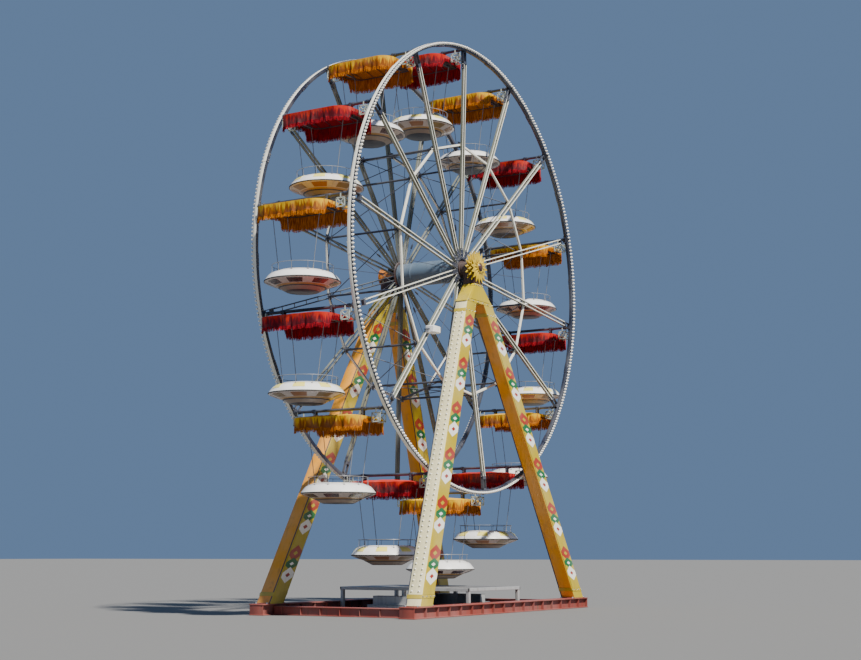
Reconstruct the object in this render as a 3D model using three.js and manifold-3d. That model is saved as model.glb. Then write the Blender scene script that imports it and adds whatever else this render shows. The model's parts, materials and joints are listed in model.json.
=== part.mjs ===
// A travelling ferris wheel with fourteen round tubs under fringed canopies.
// Units are millimetres, +Z is up. The origin lies on the ground under the middle of the wheel.
// The axle runs along Y: the near side of the wheel faces -Y, the far side +Y.

import * as THREE from 'three';
import { mergeVertices } from 'three/addons/utils/BufferGeometryUtils.js';
import Module from 'manifold-3d';

const wasm = await Module();
wasm.setup();

// Driving dimensions
const CABINS = 14;
const RIM_RADIUS = 6500;
const HUB_HEIGHT = 9860;
const RIM_SPACING = 3000;
const PHASE = THREE.MathUtils.degToRad( - 4.88 );
const FIT = 0.3;
const LAP = 20;

// Rims: a box section bent to a ring of flats
const FLATS_PER_BAY = 3;
const RIM_HALF_WIDTH = 50;
const RIM_INSIDE = RIM_RADIUS - 60;
const RIM_OUTSIDE = RIM_RADIUS + 60;

// Axle and spokes
const DRUM_RADIUS = 360;
const DRUM_HALF = 1000;
const FLANGE_RADIUS = 430;
const FLANGE_THICKNESS = 60;
const SHAFT_RADIUS = 120;
const SHAFT_END = 1560;
const RAIL = 40;
const RAIL_DEPTH = 80;
const RAIL_TRACK = 110;
const SPOKE_ROOT = { r: 360, y: 1045 };
const SPOKE_TIP = { r: 6100, y: 1470 };
const FORK_WIDTH = 164;
const FORK_THICKNESS = 90;
const FORK_LAP = 60;

// Inner rings and the bars between them
const RING_RADIUS = 3680;
const RING_BAR = 60;

// Cabins, measured from the pivot bar
const PIVOT_BAR_RADIUS = 40;
const CANOPY_HALF_X = 800;
const CANOPY_HALF_Y = 1090;
const CANOPY_CORNER = 420;
const CANOPY_CROWN = - 125;
const CANOPY_EDGE = - 230;
const CANOPY_HEM = - 680;
const CANOPY_WALL = 40;
const CANOPY_END_HALF = 520;
const CANOPY_END_HEM = - 430;
const CROWN_SCALE = 0.45;
const HANGER_Y = 760;
const HANGER_WIDTH = 120;
const HANGER_THICKNESS = 40;
const HANGER_TOP = 10;
const CROSS_ARM_HALF = 380;
const CROSS_ARM_BOTTOM = - 340;
const CROSS_ARM_WIDTH = 50;
const CROSS_ARM_HEIGHT = 40;
const TUB_SIDES = 16;
const TUB_RIM_RADIUS = 1000;
const TUB_LIP_OUTER = 640;
const TUB_LIP_INNER = 600;
const TUB_TOP = - 1935;
const TUB_FLOOR = - 2400;
const TUB_BOTTOM = - 2470;
const ROD = 22;
const ROD_TOP = { x: 330, y: HANGER_Y };
const ROD_FOOT = { x: 305, y: 540 };

// A-frames, as distances below the hub
const LEG_TOP = 1060;
const LEG_START_X = - 15;
const LEG_SLOPE = 0.471;
const LEG_INNER_Y = 1190;
const LEG_LEAN = 0.098;
const LEG_WIDTH_TOP = 540;
const LEG_WIDTH_FOOT = 620;
const LEG_DEPTH_TOP = 380;
const LEG_DEPTH_FOOT = 450;
const HEAD_TOP = 490;
const HEAD_HALF_TOP = 215;
const PEDESTAL_HALF = 210;
const BEARING_RADIUS = 250;
const BEARING_INNER_Y = 1075;
const BEARING_OUTER_Y = 1640;
const SHAFT_SIDES = 24;

// Sunburst on the near bearing and the round cap on the far one
const SUN_RAYS = 16;
const SUN_RADIUS = 490;
const SUN_VALLEY = 320;
const SUN_THICKNESS = 40;
const SUN_BOSS_RADIUS = 160;
const SUN_BOSS_DEPTH = 100;
const CAP_RADIUS = 280;
const CAP_DEPTH = 80;

// Base
const SILL_HEIGHT = 300;
const SILL_HALF_LENGTH = 5100;
const SILL_INNER_Y = 2120;
const SILL_OUTER_Y = 2585;
const TIE_HEIGHT = 240;
const TIE_WIDTH = 300;
const DECK_HALF_X = 1500;
const DECK_TOP = 700;
const DECK_THICKNESS = 90;
const DECK_POST = 120;
const STEP_GOING = 300;
const STEP_COUNT = 2;
const STEP_HALF_Y = 800;

const finish = ( color, roughness, metalness = 0 ) =>
	new THREE.MeshStandardMaterial( { color, roughness, metalness } );

const creamPaint = finish( 0xd9d8c4, 0.45 );
const darkSteel = finish( 0x2b3242, 0.5, 0.4 );
const axlePaint = finish( 0x4b5a6b, 0.5, 0.2 );
const legPaint = finish( 0xe8c21c, 0.45 );
const sunPaint = finish( 0xf2b81e, 0.4 );
const basePaint = finish( 0x8d2a20, 0.55 );
const deckMetal = finish( 0x8b9094, 0.5, 0.6 );
const redCloth = finish( 0xb3202a, 0.8 );
const yellowCloth = finish( 0xd9921a, 0.8 );
const tubShell = finish( 0xe6e1dc, 0.3 );

// Solid made from a closed three.js geometry
function toSolid( geometry ) {

	const bare = geometry.clone();
	for ( const name of Object.keys( bare.attributes ) ) {

		if ( name !== 'position' ) bare.deleteAttribute( name );

	}

	const merged = mergeVertices( bare, 1e-3 );
	return new wasm.Manifold( new wasm.Mesh( {
		numProp: 3,
		vertProperties: new Float32Array( merged.attributes.position.array ),
		triVerts: new Uint32Array( merged.index.array ),
	} ) );

}

// Geometry of a solid after its cuts and joins
function toGeometry( solid ) {

	const { vertProperties, triVerts } = solid.getMesh();
	const geometry = new THREE.BufferGeometry();
	geometry.setAttribute( 'position', new THREE.BufferAttribute( vertProperties, 3 ) );
	geometry.setIndex( new THREE.BufferAttribute( triVerts, 1 ) );
	geometry.computeVertexNormals();
	return geometry;

}

const joinAll = ( geometries ) => geometries.map( toSolid ).reduce( ( sum, solid ) => sum.add( solid ) );

function named( name, geometry, material, parent ) {

	const mesh = new THREE.Mesh( geometry, material );
	mesh.name = name;
	parent.add( mesh );
	return mesh;

}

// Rings of points, listed anticlockwise seen from above and from the bottom up, closed at both ends
function stack( rings ) {

	const count = rings[ 0 ].length;
	const positions = rings.flat().flatMap( ( p ) => [ p.x, p.y, p.z ] );
	const index = [];
	for ( let level = 0; level < rings.length - 1; level ++ ) {

		for ( let i = 0; i < count; i ++ ) {

			const a = level * count + i;
			const b = level * count + ( i + 1 ) % count;
			index.push( a, b, b + count, a, b + count, a + count );

		}

	}

	const last = ( rings.length - 1 ) * count;
	for ( let i = 1; i < count - 1; i ++ ) {

		index.push( 0, i + 1, i );
		index.push( last, last + i, last + i + 1 );

	}

	const geometry = new THREE.BufferGeometry();
	geometry.setAttribute( 'position', new THREE.Float32BufferAttribute( positions, 3 ) );
	geometry.setIndex( index );
	return geometry;

}

// Upright block with a level foot and a level top, which may differ in place and size
function block( foot, top ) {

	const corners = ( e ) => [
		new THREE.Vector3( e.x0, e.y0, e.z ),
		new THREE.Vector3( e.x1, e.y0, e.z ),
		new THREE.Vector3( e.x1, e.y1, e.z ),
		new THREE.Vector3( e.x0, e.y1, e.z ),
	];
	return stack( [ corners( foot ), corners( top ) ] );

}

// Box between two corners
const box = ( x0, x1, y0, y1, z0, z1 ) => block( { x0, x1, y0, y1, z: z0 }, { x0, x1, y0, y1, z: z1 } );

// Square bar between two points; one side of its section follows the given direction
function bar( from, to, width, depth, widthDirection ) {

	const along = new THREE.Vector3().subVectors( to, from );
	const length = along.length();
	along.normalize();
	const across = new THREE.Vector3().copy( widthDirection );
	across.addScaledVector( along, - across.dot( along ) ).normalize();
	const third = new THREE.Vector3().crossVectors( along, across );
	const place = new THREE.Matrix4().makeBasis( across, third, along );
	place.setPosition( new THREE.Vector3().addVectors( from, to ).multiplyScalar( 0.5 ) );
	return new THREE.BoxGeometry( width, depth, length ).applyMatrix4( place );

}

// Cylinder along Y between two places on the axle
function yCylinder( radius, y0, y1, sides ) {

	const low = Math.min( y0, y1 );
	const high = Math.max( y0, y1 );
	const geometry = new THREE.CylinderGeometry( radius, radius, high - low, sides );
	return geometry.translate( 0, ( low + high ) / 2, 0 );

}

const bayAngle = ( k ) => PHASE + k * 2 * Math.PI / CABINS;
const onWheel = ( r, angle, y ) => new THREE.Vector3( r * Math.sin( angle ), y, r * Math.cos( angle ) );
const tangent = ( angle ) => new THREE.Vector3( Math.cos( angle ), 0, - Math.sin( angle ) );
const label = ( k ) => String( k + 1 ).padStart( 2, '0' );
const bays = Array.from( { length: CABINS }, ( _, k ) => k );

// Wheel
// side is -1 for the near side and +1 for the far side

// A ring of flats; each cabin pivot sits at the middle of a flat
function rim( side ) {

	const flats = CABINS * FLATS_PER_BAY;
	const corner = 1 / Math.cos( Math.PI / flats );
	const profile = [
		[ RIM_INSIDE, - RIM_HALF_WIDTH ], [ RIM_OUTSIDE, - RIM_HALF_WIDTH ],
		[ RIM_OUTSIDE, RIM_HALF_WIDTH ], [ RIM_INSIDE, RIM_HALF_WIDTH ], [ RIM_INSIDE, - RIM_HALF_WIDTH ],
	].map( ( [ r, y ] ) => new THREE.Vector2( r * corner, y ) );
	const ring = new THREE.LatheGeometry( profile, flats );
	ring.rotateY( PHASE + Math.PI / flats );
	return toGeometry( toSolid( ring.translate( 0, side * RIM_SPACING / 2, 0 ) ) );

}

// Distance of the spokes from the middle plane at a radius
const spokeY = ( r ) => SPOKE_ROOT.y
	+ ( SPOKE_TIP.y - SPOKE_ROOT.y ) * ( r - SPOKE_ROOT.r ) / ( SPOKE_TIP.r - SPOKE_ROOT.r );

// Fourteen twin-rail spokes on their hub flange, with the shaft end that turns in the bearing
function spokes( side ) {

	const pieces = [
		yCylinder( FLANGE_RADIUS, side * ( DRUM_HALF + FIT ), side * ( DRUM_HALF + FLANGE_THICKNESS ), 2 * CABINS )
			.rotateY( PHASE ),
		yCylinder( SHAFT_RADIUS, side * ( DRUM_HALF + FLANGE_THICKNESS / 2 ), side * SHAFT_END, SHAFT_SIDES ),
	];
	for ( const k of bays ) {

		const angle = bayAngle( k );
		const across = tangent( angle );
		for ( const offset of [ - RAIL_TRACK / 2, RAIL_TRACK / 2 ] ) {

			const from = onWheel( SPOKE_ROOT.r, angle, side * SPOKE_ROOT.y ).addScaledVector( across, offset );
			const to = onWheel( SPOKE_TIP.r, angle, side * SPOKE_TIP.y ).addScaledVector( across, offset );
			pieces.push( bar( from, to, RAIL, RAIL_DEPTH, across ) );

		}

		const forkY = side * spokeY( SPOKE_TIP.r - FORK_LAP / 2 );
		const forkStart = onWheel( SPOKE_TIP.r - FORK_LAP, angle, forkY );
		const forkEnd = onWheel( RIM_INSIDE - FIT, angle, forkY );
		pieces.push( bar( forkStart, forkEnd, FORK_WIDTH, FORK_THICKNESS, across ) );

	}

	return toGeometry( joinAll( pieces ) );

}

// Inner ring: fourteen straight bars, laid against the inside of the spokes
const halfBay = Math.PI / CABINS;
const ringFoot = RING_RADIUS
	- ( RING_BAR / 2 + ( RAIL_TRACK + RAIL ) / 2 * Math.sin( halfBay ) ) / Math.cos( halfBay );
const spokeTilt = Math.atan2( SPOKE_TIP.y - SPOKE_ROOT.y, SPOKE_TIP.r - SPOKE_ROOT.r );
const ringY = spokeY( ringFoot ) - RAIL_DEPTH / 2 / Math.cos( spokeTilt ) - RING_BAR / 2 - FIT;

function innerRing( side ) {

	const pieces = [];
	for ( const k of bays ) {

		const from = onWheel( RING_RADIUS, bayAngle( k ), side * ringY );
		const to = onWheel( RING_RADIUS, bayAngle( k + 1 ), side * ringY );
		const middle = bayAngle( k + 0.5 );
		pieces.push( bar( from, to, RING_BAR, RING_BAR, onWheel( 1, middle, 0 ) ) );

	}

	return toGeometry( joinAll( pieces ) );

}

function crossBar( k ) {

	const reach = ringY - RING_BAR / 2 - FIT;
	return bar( onWheel( RING_RADIUS, bayAngle( k ), - reach ), onWheel( RING_RADIUS, bayAngle( k ), reach ),
		RING_BAR, RING_BAR, tangent( bayAngle( k ) ) );

}

// Cabins

// Rounded rectangle at one height, three points to a corner
function canopyRing( inset, z ) {

	const radius = CANOPY_CORNER - inset;
	const cx = CANOPY_HALF_X - CANOPY_CORNER;
	const cy = CANOPY_HALF_Y - CANOPY_CORNER;
	const points = [];
	for ( const [ sx, sy, start ] of [ [ 1, 1, 0 ], [ - 1, 1, 90 ], [ - 1, - 1, 180 ], [ 1, - 1, 270 ] ] ) {

		for ( const step of [ 0, 45, 90 ] ) {

			const angle = THREE.MathUtils.degToRad( start + step );
			points.push( new THREE.Vector3(
				sx * cx + radius * Math.cos( angle ), sy * cy + radius * Math.sin( angle ), z ) );

		}

	}

	return points;

}

const shrink = ( ring, scale, z ) => ring.map( ( p ) => new THREE.Vector3( p.x * scale, p.y * scale, z ) );

// Roof with its valance, short at both ends, the two hangers, their cross arms and the pivot bar
function canopy() {

	const outer = stack( [
		canopyRing( 0, CANOPY_HEM ),
		canopyRing( 0, CANOPY_EDGE ),
		shrink( canopyRing( 0, 0 ), CROWN_SCALE, CANOPY_CROWN ),
	] );
	const hollow = stack( [
		canopyRing( CANOPY_WALL, CANOPY_HEM - LAP ),
		canopyRing( CANOPY_WALL, CANOPY_EDGE - CANOPY_WALL ),
		shrink( canopyRing( CANOPY_WALL, 0 ), CROWN_SCALE, CANOPY_CROWN - CANOPY_WALL ),
	] );
	const reach = RIM_SPACING / 2 - RIM_HALF_WIDTH - FIT;
	const end = CANOPY_HALF_Y + LAP;
	let solid = toSolid( outer ).subtract( toSolid( hollow ) );
	solid = solid.subtract( toSolid( box( - CANOPY_END_HALF, CANOPY_END_HALF, - end, end,
		CANOPY_HEM - LAP, CANOPY_END_HEM ) ) );
	solid = solid.add( toSolid( yCylinder( PIVOT_BAR_RADIUS, - reach, reach, 8 ) ) );
	for ( const y of [ - HANGER_Y, HANGER_Y ] ) {

		solid = solid.add( toSolid( box( - HANGER_WIDTH / 2, HANGER_WIDTH / 2, y - HANGER_THICKNESS / 2,
			y + HANGER_THICKNESS / 2, CROSS_ARM_BOTTOM + LAP, HANGER_TOP ) ) );
		solid = solid.add( toSolid( box( - CROSS_ARM_HALF, CROSS_ARM_HALF, y - CROSS_ARM_WIDTH / 2,
			y + CROSS_ARM_WIDTH / 2, CROSS_ARM_BOTTOM, CROSS_ARM_BOTTOM + CROSS_ARM_HEIGHT ) ) );

	}

	return toGeometry( solid );

}

// Saucer-shaped tub, open on top, and the four rods that hang it from the cross arms
function tub() {

	const profile = [
		[ 0, TUB_BOTTOM ], [ 440, TUB_BOTTOM ], [ 605, - 2360 ], [ TUB_RIM_RADIUS, - 2215 ],
		[ TUB_RIM_RADIUS, - 2185 ], [ 860, - 2020 ], [ TUB_LIP_OUTER, TUB_TOP ], [ TUB_LIP_INNER, TUB_TOP ],
		[ 430, TUB_FLOOR ], [ 0, TUB_FLOOR ],
	].map( ( [ r, z ] ) => new THREE.Vector2( r, z ) );
	let solid = toSolid( new THREE.LatheGeometry( profile, TUB_SIDES ).rotateX( Math.PI / 2 ) );
	const h = ROD / 2;
	const section = ( x, y, z ) => ( { x0: x - h, x1: x + h, y0: y - h, y1: y + h, z } );
	for ( const sx of [ - 1, 1 ] ) {

		for ( const sy of [ - 1, 1 ] ) {

			solid = solid.add( toSolid( block(
				section( sx * ROD_FOOT.x, sy * ROD_FOOT.y, TUB_TOP - LAP ),
				section( sx * ROD_TOP.x, sy * ROD_TOP.y, CROSS_ARM_BOTTOM - FIT ),
			) ) );

		}

	}

	return toGeometry( solid );

}

// Stand

// Outline of an A-frame leg at a distance below the hub; hand is -1 for left, +1 for right
function legSection( side, hand, drop ) {

	const t = drop / ( HUB_HEIGHT - SILL_HEIGHT );
	const width = LEG_WIDTH_TOP + ( LEG_WIDTH_FOOT - LEG_WIDTH_TOP ) * t;
	const depth = LEG_DEPTH_TOP + ( LEG_DEPTH_FOOT - LEG_DEPTH_TOP ) * t;
	const x = hand * ( LEG_START_X + LEG_SLOPE * drop );
	const inner = side * ( LEG_INNER_Y + LEG_LEAN * drop );
	const outer = inner + side * depth;
	return {
		x0: x - width / 2, x1: x + width / 2,
		y0: Math.min( inner, outer ), y1: Math.max( inner, outer ),
		z: HUB_HEIGHT - drop,
	};

}

const leg = ( side, hand ) => block(
	legSection( side, hand, HUB_HEIGHT - SILL_HEIGHT - FIT ),
	legSection( side, hand, LEG_TOP + FIT ),
);

// Head of an A-frame: the gusset above the legs and the pedestal with the bearing for the shaft
function head( side ) {

	const foot = { ...legSection( side, - 1, LEG_TOP ), x1: legSection( side, 1, LEG_TOP ).x1 };
	const top = { ...legSection( side, - 1, HEAD_TOP ), x0: - HEAD_HALF_TOP, x1: HEAD_HALF_TOP };
	let solid = toSolid( block( foot, top ) );
	solid = solid.add( toSolid( box( - PEDESTAL_HALF, PEDESTAL_HALF, top.y0, top.y1, top.z - LAP, HUB_HEIGHT ) ) );
	const lift = ( geometry ) => toSolid( geometry.translate( 0, 0, HUB_HEIGHT ) );
	solid = solid.add( lift( yCylinder( BEARING_RADIUS, side * BEARING_INNER_Y, side * BEARING_OUTER_Y, 20 ) ) );
	const halfFacet = Math.PI / SHAFT_SIDES;
	const bore = yCylinder( ( SHAFT_RADIUS + FIT ) / Math.cos( halfFacet ), side * ( BEARING_INNER_Y - LAP ),
		side * ( BEARING_OUTER_Y + LAP ), SHAFT_SIDES );
	solid = solid.subtract( lift( bore.rotateY( halfFacet ) ) );
	if ( side > 0 ) {

		solid = solid.add( lift( yCylinder( CAP_RADIUS, BEARING_OUTER_Y - LAP,
			BEARING_OUTER_Y + CAP_DEPTH, 20 ) ) );

	}

	return toGeometry( solid );

}

// Sunburst plate with a round boss
function sunburst() {

	const outline = new THREE.Shape();
	for ( let i = 0; i < 2 * SUN_RAYS; i ++ ) {

		const r = i % 2 ? SUN_VALLEY : SUN_RADIUS;
		const angle = i * Math.PI / SUN_RAYS;
		const [ x, y ] = [ r * Math.cos( angle ), r * Math.sin( angle ) ];
		if ( i ) outline.lineTo( x, y ); else outline.moveTo( x, y );

	}

	outline.closePath();
	const plate = new THREE.ExtrudeGeometry( outline, { depth: SUN_THICKNESS, bevelEnabled: false } );
	plate.rotateX( Math.PI / 2 ).translate( 0, - BEARING_OUTER_Y - FIT, 0 );
	const face = - BEARING_OUTER_Y - FIT - SUN_THICKNESS;
	const boss = yCylinder( SUN_BOSS_RADIUS, face + LAP, face - SUN_BOSS_DEPTH + SUN_THICKNESS, 16 );
	return toGeometry( joinAll( [ plate, boss ] ) ).translate( 0, 0, HUB_HEIGHT );

}

// Two sills under the legs and the two ties that hold them apart
function baseFrame() {

	const footX = LEG_START_X + LEG_SLOPE * ( HUB_HEIGHT - SILL_HEIGHT );
	const pieces = [];
	for ( const side of [ - 1, 1 ] ) {

		const [ y0, y1 ] = side < 0 ? [ - SILL_OUTER_Y, - SILL_INNER_Y ] : [ SILL_INNER_Y, SILL_OUTER_Y ];
		pieces.push( box( - SILL_HALF_LENGTH, SILL_HALF_LENGTH, y0, y1, 0, SILL_HEIGHT ) );

	}

	for ( const x of [ - footX, footX ] ) {

		pieces.push( box( x - TIE_WIDTH / 2, x + TIE_WIDTH / 2, - SILL_INNER_Y - LAP, SILL_INNER_Y + LAP,
			0, TIE_HEIGHT ) );

	}

	return toGeometry( joinAll( pieces ) );

}

// Boarding deck between the sills, on posts, with steps at both ends
function boardingDeck() {

	const reach = SILL_INNER_Y - FIT;
	const under = DECK_TOP - DECK_THICKNESS;
	const pieces = [ box( - DECK_HALF_X, DECK_HALF_X, - reach, reach, under, DECK_TOP ) ];
	for ( const x of [ - DECK_HALF_X, DECK_HALF_X - DECK_POST ] ) {

		for ( const y of [ - reach, - DECK_POST / 2, reach - DECK_POST ] ) {

			pieces.push( box( x, x + DECK_POST, y, y + DECK_POST, 0, under + LAP ) );

		}

	}

	const rise = DECK_TOP / ( STEP_COUNT + 1 );
	for ( const hand of [ - 1, 1 ] ) {

		for ( let i = 1; i <= STEP_COUNT; i ++ ) {

			const near = hand * ( DECK_HALF_X - LAP );
			const far = hand * ( DECK_HALF_X + STEP_GOING * i );
			pieces.push( box( Math.min( near, far ), Math.max( near, far ), - STEP_HALF_Y, STEP_HALF_Y,
				0, rise * ( STEP_COUNT + 1 - i ) ) );

		}

	}

	return toGeometry( joinAll( pieces ) );

}

const ferrisWheel = new THREE.Group();

const stand = new THREE.Group();
ferrisWheel.add( stand );
for ( const [ side, where ] of [ [ - 1, 'near' ], [ 1, 'far' ] ] ) {

	named( `${ where }_leg_left`, leg( side, - 1 ), legPaint, stand );
	named( `${ where }_leg_right`, leg( side, 1 ), legPaint, stand );
	named( `${ where }_head`, head( side ), legPaint, stand );

}

named( 'sunburst', sunburst(), sunPaint, stand );
named( 'base_frame', baseFrame(), basePaint, stand );
named( 'boarding_deck', boardingDeck(), deckMetal, stand );

const wheel = new THREE.Group();
wheel.position.z = HUB_HEIGHT;
ferrisWheel.add( wheel );
named( 'axle_drum', yCylinder( DRUM_RADIUS, - DRUM_HALF, DRUM_HALF, 28 ), axlePaint, wheel );
for ( const [ side, where ] of [ [ - 1, 'near' ], [ 1, 'far' ] ] ) {

	named( `rim_${ where }`, rim( side ), creamPaint, wheel );
	named( `spokes_${ where }`, spokes( side ), creamPaint, wheel );
	named( `inner_ring_${ where }`, innerRing( side ), creamPaint, wheel );

}

const canopySolid = canopy();
const tubSolid = tub();
for ( const k of bays ) {

	named( `cross_bar_${ label( k ) }`, crossBar( k ), darkSteel, wheel );
	const cabin = new THREE.Group();
	cabin.position.copy( onWheel( RIM_RADIUS, bayAngle( k ), 0 ) );
	wheel.add( cabin );
	named( `canopy_${ label( k ) }`, canopySolid, k % 2 ? yellowCloth : redCloth, cabin );
	named( `tub_${ label( k ) }`, tubSolid, tubShell, cabin );

}

export default ferrisWheel;
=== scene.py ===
"""A dressed travelling ferris wheel: twin rims, spoked hubs, splayed legs and fourteen canopied tubs.

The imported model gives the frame: the hub, the cabin pivots and the radius of the rims come from its
joints. Each sub-assembly is a class whose surfaces are worked out with numpy, in metres, in the
frame's own axes: +Z up, +Y along the axle away from the near side, origin on the ground.
"""

from __future__ import annotations

import json
import logging
import math
from dataclasses import dataclass, field
from enum import Enum

import bmesh
import bpy
import numpy as np
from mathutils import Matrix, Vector

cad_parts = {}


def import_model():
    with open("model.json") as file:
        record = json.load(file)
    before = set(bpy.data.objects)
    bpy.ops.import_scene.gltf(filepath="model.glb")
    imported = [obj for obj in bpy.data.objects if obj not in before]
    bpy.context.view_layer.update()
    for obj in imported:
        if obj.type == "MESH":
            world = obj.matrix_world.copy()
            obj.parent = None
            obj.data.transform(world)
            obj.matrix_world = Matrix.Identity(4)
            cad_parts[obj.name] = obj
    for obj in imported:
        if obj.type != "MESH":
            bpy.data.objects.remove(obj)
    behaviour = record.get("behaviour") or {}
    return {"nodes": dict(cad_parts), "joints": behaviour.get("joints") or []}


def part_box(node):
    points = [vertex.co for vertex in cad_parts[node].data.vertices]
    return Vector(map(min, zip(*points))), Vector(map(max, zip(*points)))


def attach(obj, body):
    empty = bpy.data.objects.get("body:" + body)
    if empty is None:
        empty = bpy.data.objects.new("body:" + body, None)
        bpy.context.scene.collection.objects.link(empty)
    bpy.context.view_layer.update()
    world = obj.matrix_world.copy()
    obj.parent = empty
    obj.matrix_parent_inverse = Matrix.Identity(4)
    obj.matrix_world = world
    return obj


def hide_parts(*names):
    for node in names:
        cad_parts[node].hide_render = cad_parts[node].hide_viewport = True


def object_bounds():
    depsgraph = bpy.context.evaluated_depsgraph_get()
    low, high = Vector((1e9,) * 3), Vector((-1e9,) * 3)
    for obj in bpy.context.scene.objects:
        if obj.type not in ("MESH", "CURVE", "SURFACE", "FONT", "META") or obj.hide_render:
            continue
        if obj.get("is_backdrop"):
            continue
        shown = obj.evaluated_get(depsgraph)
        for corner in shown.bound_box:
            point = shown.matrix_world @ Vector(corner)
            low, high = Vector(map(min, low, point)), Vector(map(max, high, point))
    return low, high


Array = np.ndarray
Number = float | Array
Triple = tuple[float, float, float]
LOG = logging.getLogger("ferris_wheel")
ALONG_AXLE = np.array([0.0, 1.0, 0.0])
UPWARD = np.array([0.0, 0.0, 1.0])
RIGHTWARD = np.array([1.0, 0.0, 0.0])
LEANING = UPWARD + RIGHTWARD * 0.1
SMOOTH_ANGLE = math.radians(38)
MERGE_DISTANCE = 1e-5


class Direction(Enum):
    """A direction along an axis; its value is its sign."""

    @property
    def word(self) -> str:
        """Its name as the nodes use it."""
        return self.name.lower()

    def span(self, near: float, far: float) -> list[float]:
        """Both ends of a span this way from the middle, the lower one first."""
        return sorted((self.value * near, self.value * far))


class Side(Direction):
    """The two sides of the wheel, with the sign of Y on each."""

    NEAR = -1
    FAR = 1

    @property
    def other(self) -> Side:
        """The opposite side."""
        return Side(-self.value)


class Hand(Direction):
    """The two legs of an A-frame, with the sign of X on each."""

    LEFT = -1
    RIGHT = 1


# Surfaces


@dataclass
class Surface:
    """Points, faces, surface coordinates and finish numbers of a surface, each a whole array.

    A face is four corner numbers; a triangle repeats its last corner.
    """

    points: Array
    faces: Array
    uv: Array
    finish: Array

    @classmethod
    def grid(cls, points: Array, uv: Array | None = None, finish: int | Array = 0) -> Surface:
        """A surface over a grid of points.

        Args:
            points: Rows by columns by three.
            uv: Rows by columns by two; left out, it runs from 0 to 1 both ways.
            finish: One finish number, or one for each face.

        Returns:
            The surface, with a face between each four neighbouring points.
        """
        rows, columns = points.shape[:2]
        index = np.arange(rows * columns).reshape(rows, columns)
        faces = np.stack([index[:-1, :-1], index[:-1, 1:], index[1:, 1:], index[1:, :-1]], -1)
        faces = faces.reshape(-1, 4)
        if uv is None:
            v, u = np.meshgrid(np.linspace(0, 1, rows), np.linspace(0, 1, columns), indexing="ij")
            uv = np.stack([u, v], -1)
        numbers = np.broadcast_to(np.asarray(finish).reshape(-1), (len(faces),)).astype(np.int32)
        return cls(points.reshape(-1, 3), faces, uv.reshape(-1, 2), numbers)

    @classmethod
    def fan(cls, ring: Array, finish: int = 0) -> Surface:
        """A flat cover over a closed ring of points, as triangles about the ring's middle.

        Args:
            ring: Count by three, without its first point again.
            finish: The finish number.

        Returns:
            The cover.
        """
        count = len(ring)
        points = np.vstack([ring, ring.mean(0)])
        near = np.arange(count)
        far = (near + 1) % count
        middle = np.full(count, count)
        faces = np.stack([near, far, middle, middle], -1)
        return cls(points, faces, np.zeros((count + 1, 2)), np.full(count, finish, np.int32))

    @classmethod
    def tube(cls, points: Array, uv: Array | None = None, wall: int | Array = 0, ends: int = 0) -> Surface:
        """A wall over a grid whose rows are closed rings, with a flat cover on its first and last row.

        Args:
            points: Rows by columns by three; each row ends with its first point again.
            uv: Rows by columns by two, or nothing.
            wall: The wall's finish number, or one for each face.
            ends: The covers' finish number.

        Returns:
            The closed surface.
        """
        covers = (cls.fan(points[row, :-1], ends) for row in (0, -1))
        return cls.join(cls.grid(points, uv, wall), *covers)

    @classmethod
    def join(cls, *parts: Surface) -> Surface:
        """All the parts as one surface."""
        starts = np.cumsum([0] + [len(part.points) for part in parts[:-1]])
        return cls(
            np.vstack([part.points for part in parts]),
            np.vstack([part.faces + start for part, start in zip(parts, starts)]),
            np.vstack([part.uv for part in parts]),
            np.concatenate([part.finish for part in parts]),
        )

    def placed(self, matrices: Array) -> Surface:
        """Copies of the surface, one for each 4 by 4 matrix: point(k) = rotation(k) point + place(k).

        Args:
            matrices: Count 4 by 4 matrices.

        Returns:
            All the copies as one surface.
        """
        matrices = matrices.reshape(-1, 4, 4)
        count = len(matrices)
        points = np.einsum("kij,nj->kni", matrices[:, :3, :3], self.points)
        points += matrices[:, None, :3, 3]
        shift = np.arange(count)[:, None, None] * len(self.points)
        return Surface(
            points.reshape(-1, 3),
            (self.faces[None] + shift).reshape(-1, 4),
            np.tile(self.uv, (count, 1)),
            np.tile(self.finish, count),
        )

    def moved(self, offset: Array) -> Surface:
        """The surface shifted by an offset."""
        return Surface(self.points + offset, self.faces, self.uv, self.finish)

    def mesh(self, name: str, materials: list[bpy.types.Material]) -> bpy.types.Mesh:
        """A Blender mesh with shared points merged, faces out, UVs and soft edges under 38 degrees.

        Args:
            name: The mesh's name.
            materials: Its materials, in the order of the finish numbers.

        Returns:
            The mesh.
        """
        triangle = self.faces[:, 2] == self.faces[:, 3]
        kept = np.ones_like(self.faces, bool)
        kept[triangle, 3] = False
        corners = self.faces[kept]
        sizes = kept.sum(1)
        made = bpy.data.meshes.new(name)
        made.vertices.add(len(self.points))
        made.vertices.foreach_set("co", self.points.astype(np.float32).ravel())
        made.loops.add(len(corners))
        made.loops.foreach_set("vertex_index", corners.astype(np.int32))
        made.polygons.add(len(self.faces))
        made.polygons.foreach_set("loop_start", (np.cumsum(sizes) - sizes).astype(np.int32))
        made.polygons.foreach_set("material_index", self.finish.astype(np.int32))
        layer = made.uv_layers.new(name="Surface")
        layer.data.foreach_set("uv", self.uv[corners].astype(np.float32).ravel())
        for material in materials:
            made.materials.append(material)
        made.update(calc_edges=True)
        work = bmesh.new()
        work.from_mesh(made)
        bmesh.ops.remove_doubles(work, verts=work.verts, dist=MERGE_DISTANCE)
        bmesh.ops.recalc_face_normals(work, faces=work.faces)
        work.to_mesh(made)
        work.free()
        made.polygons.foreach_set("use_smooth", np.ones(len(made.polygons), bool))
        made.set_sharp_from_angle(angle=SMOOTH_ANGLE)
        made.update()
        return made


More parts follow.
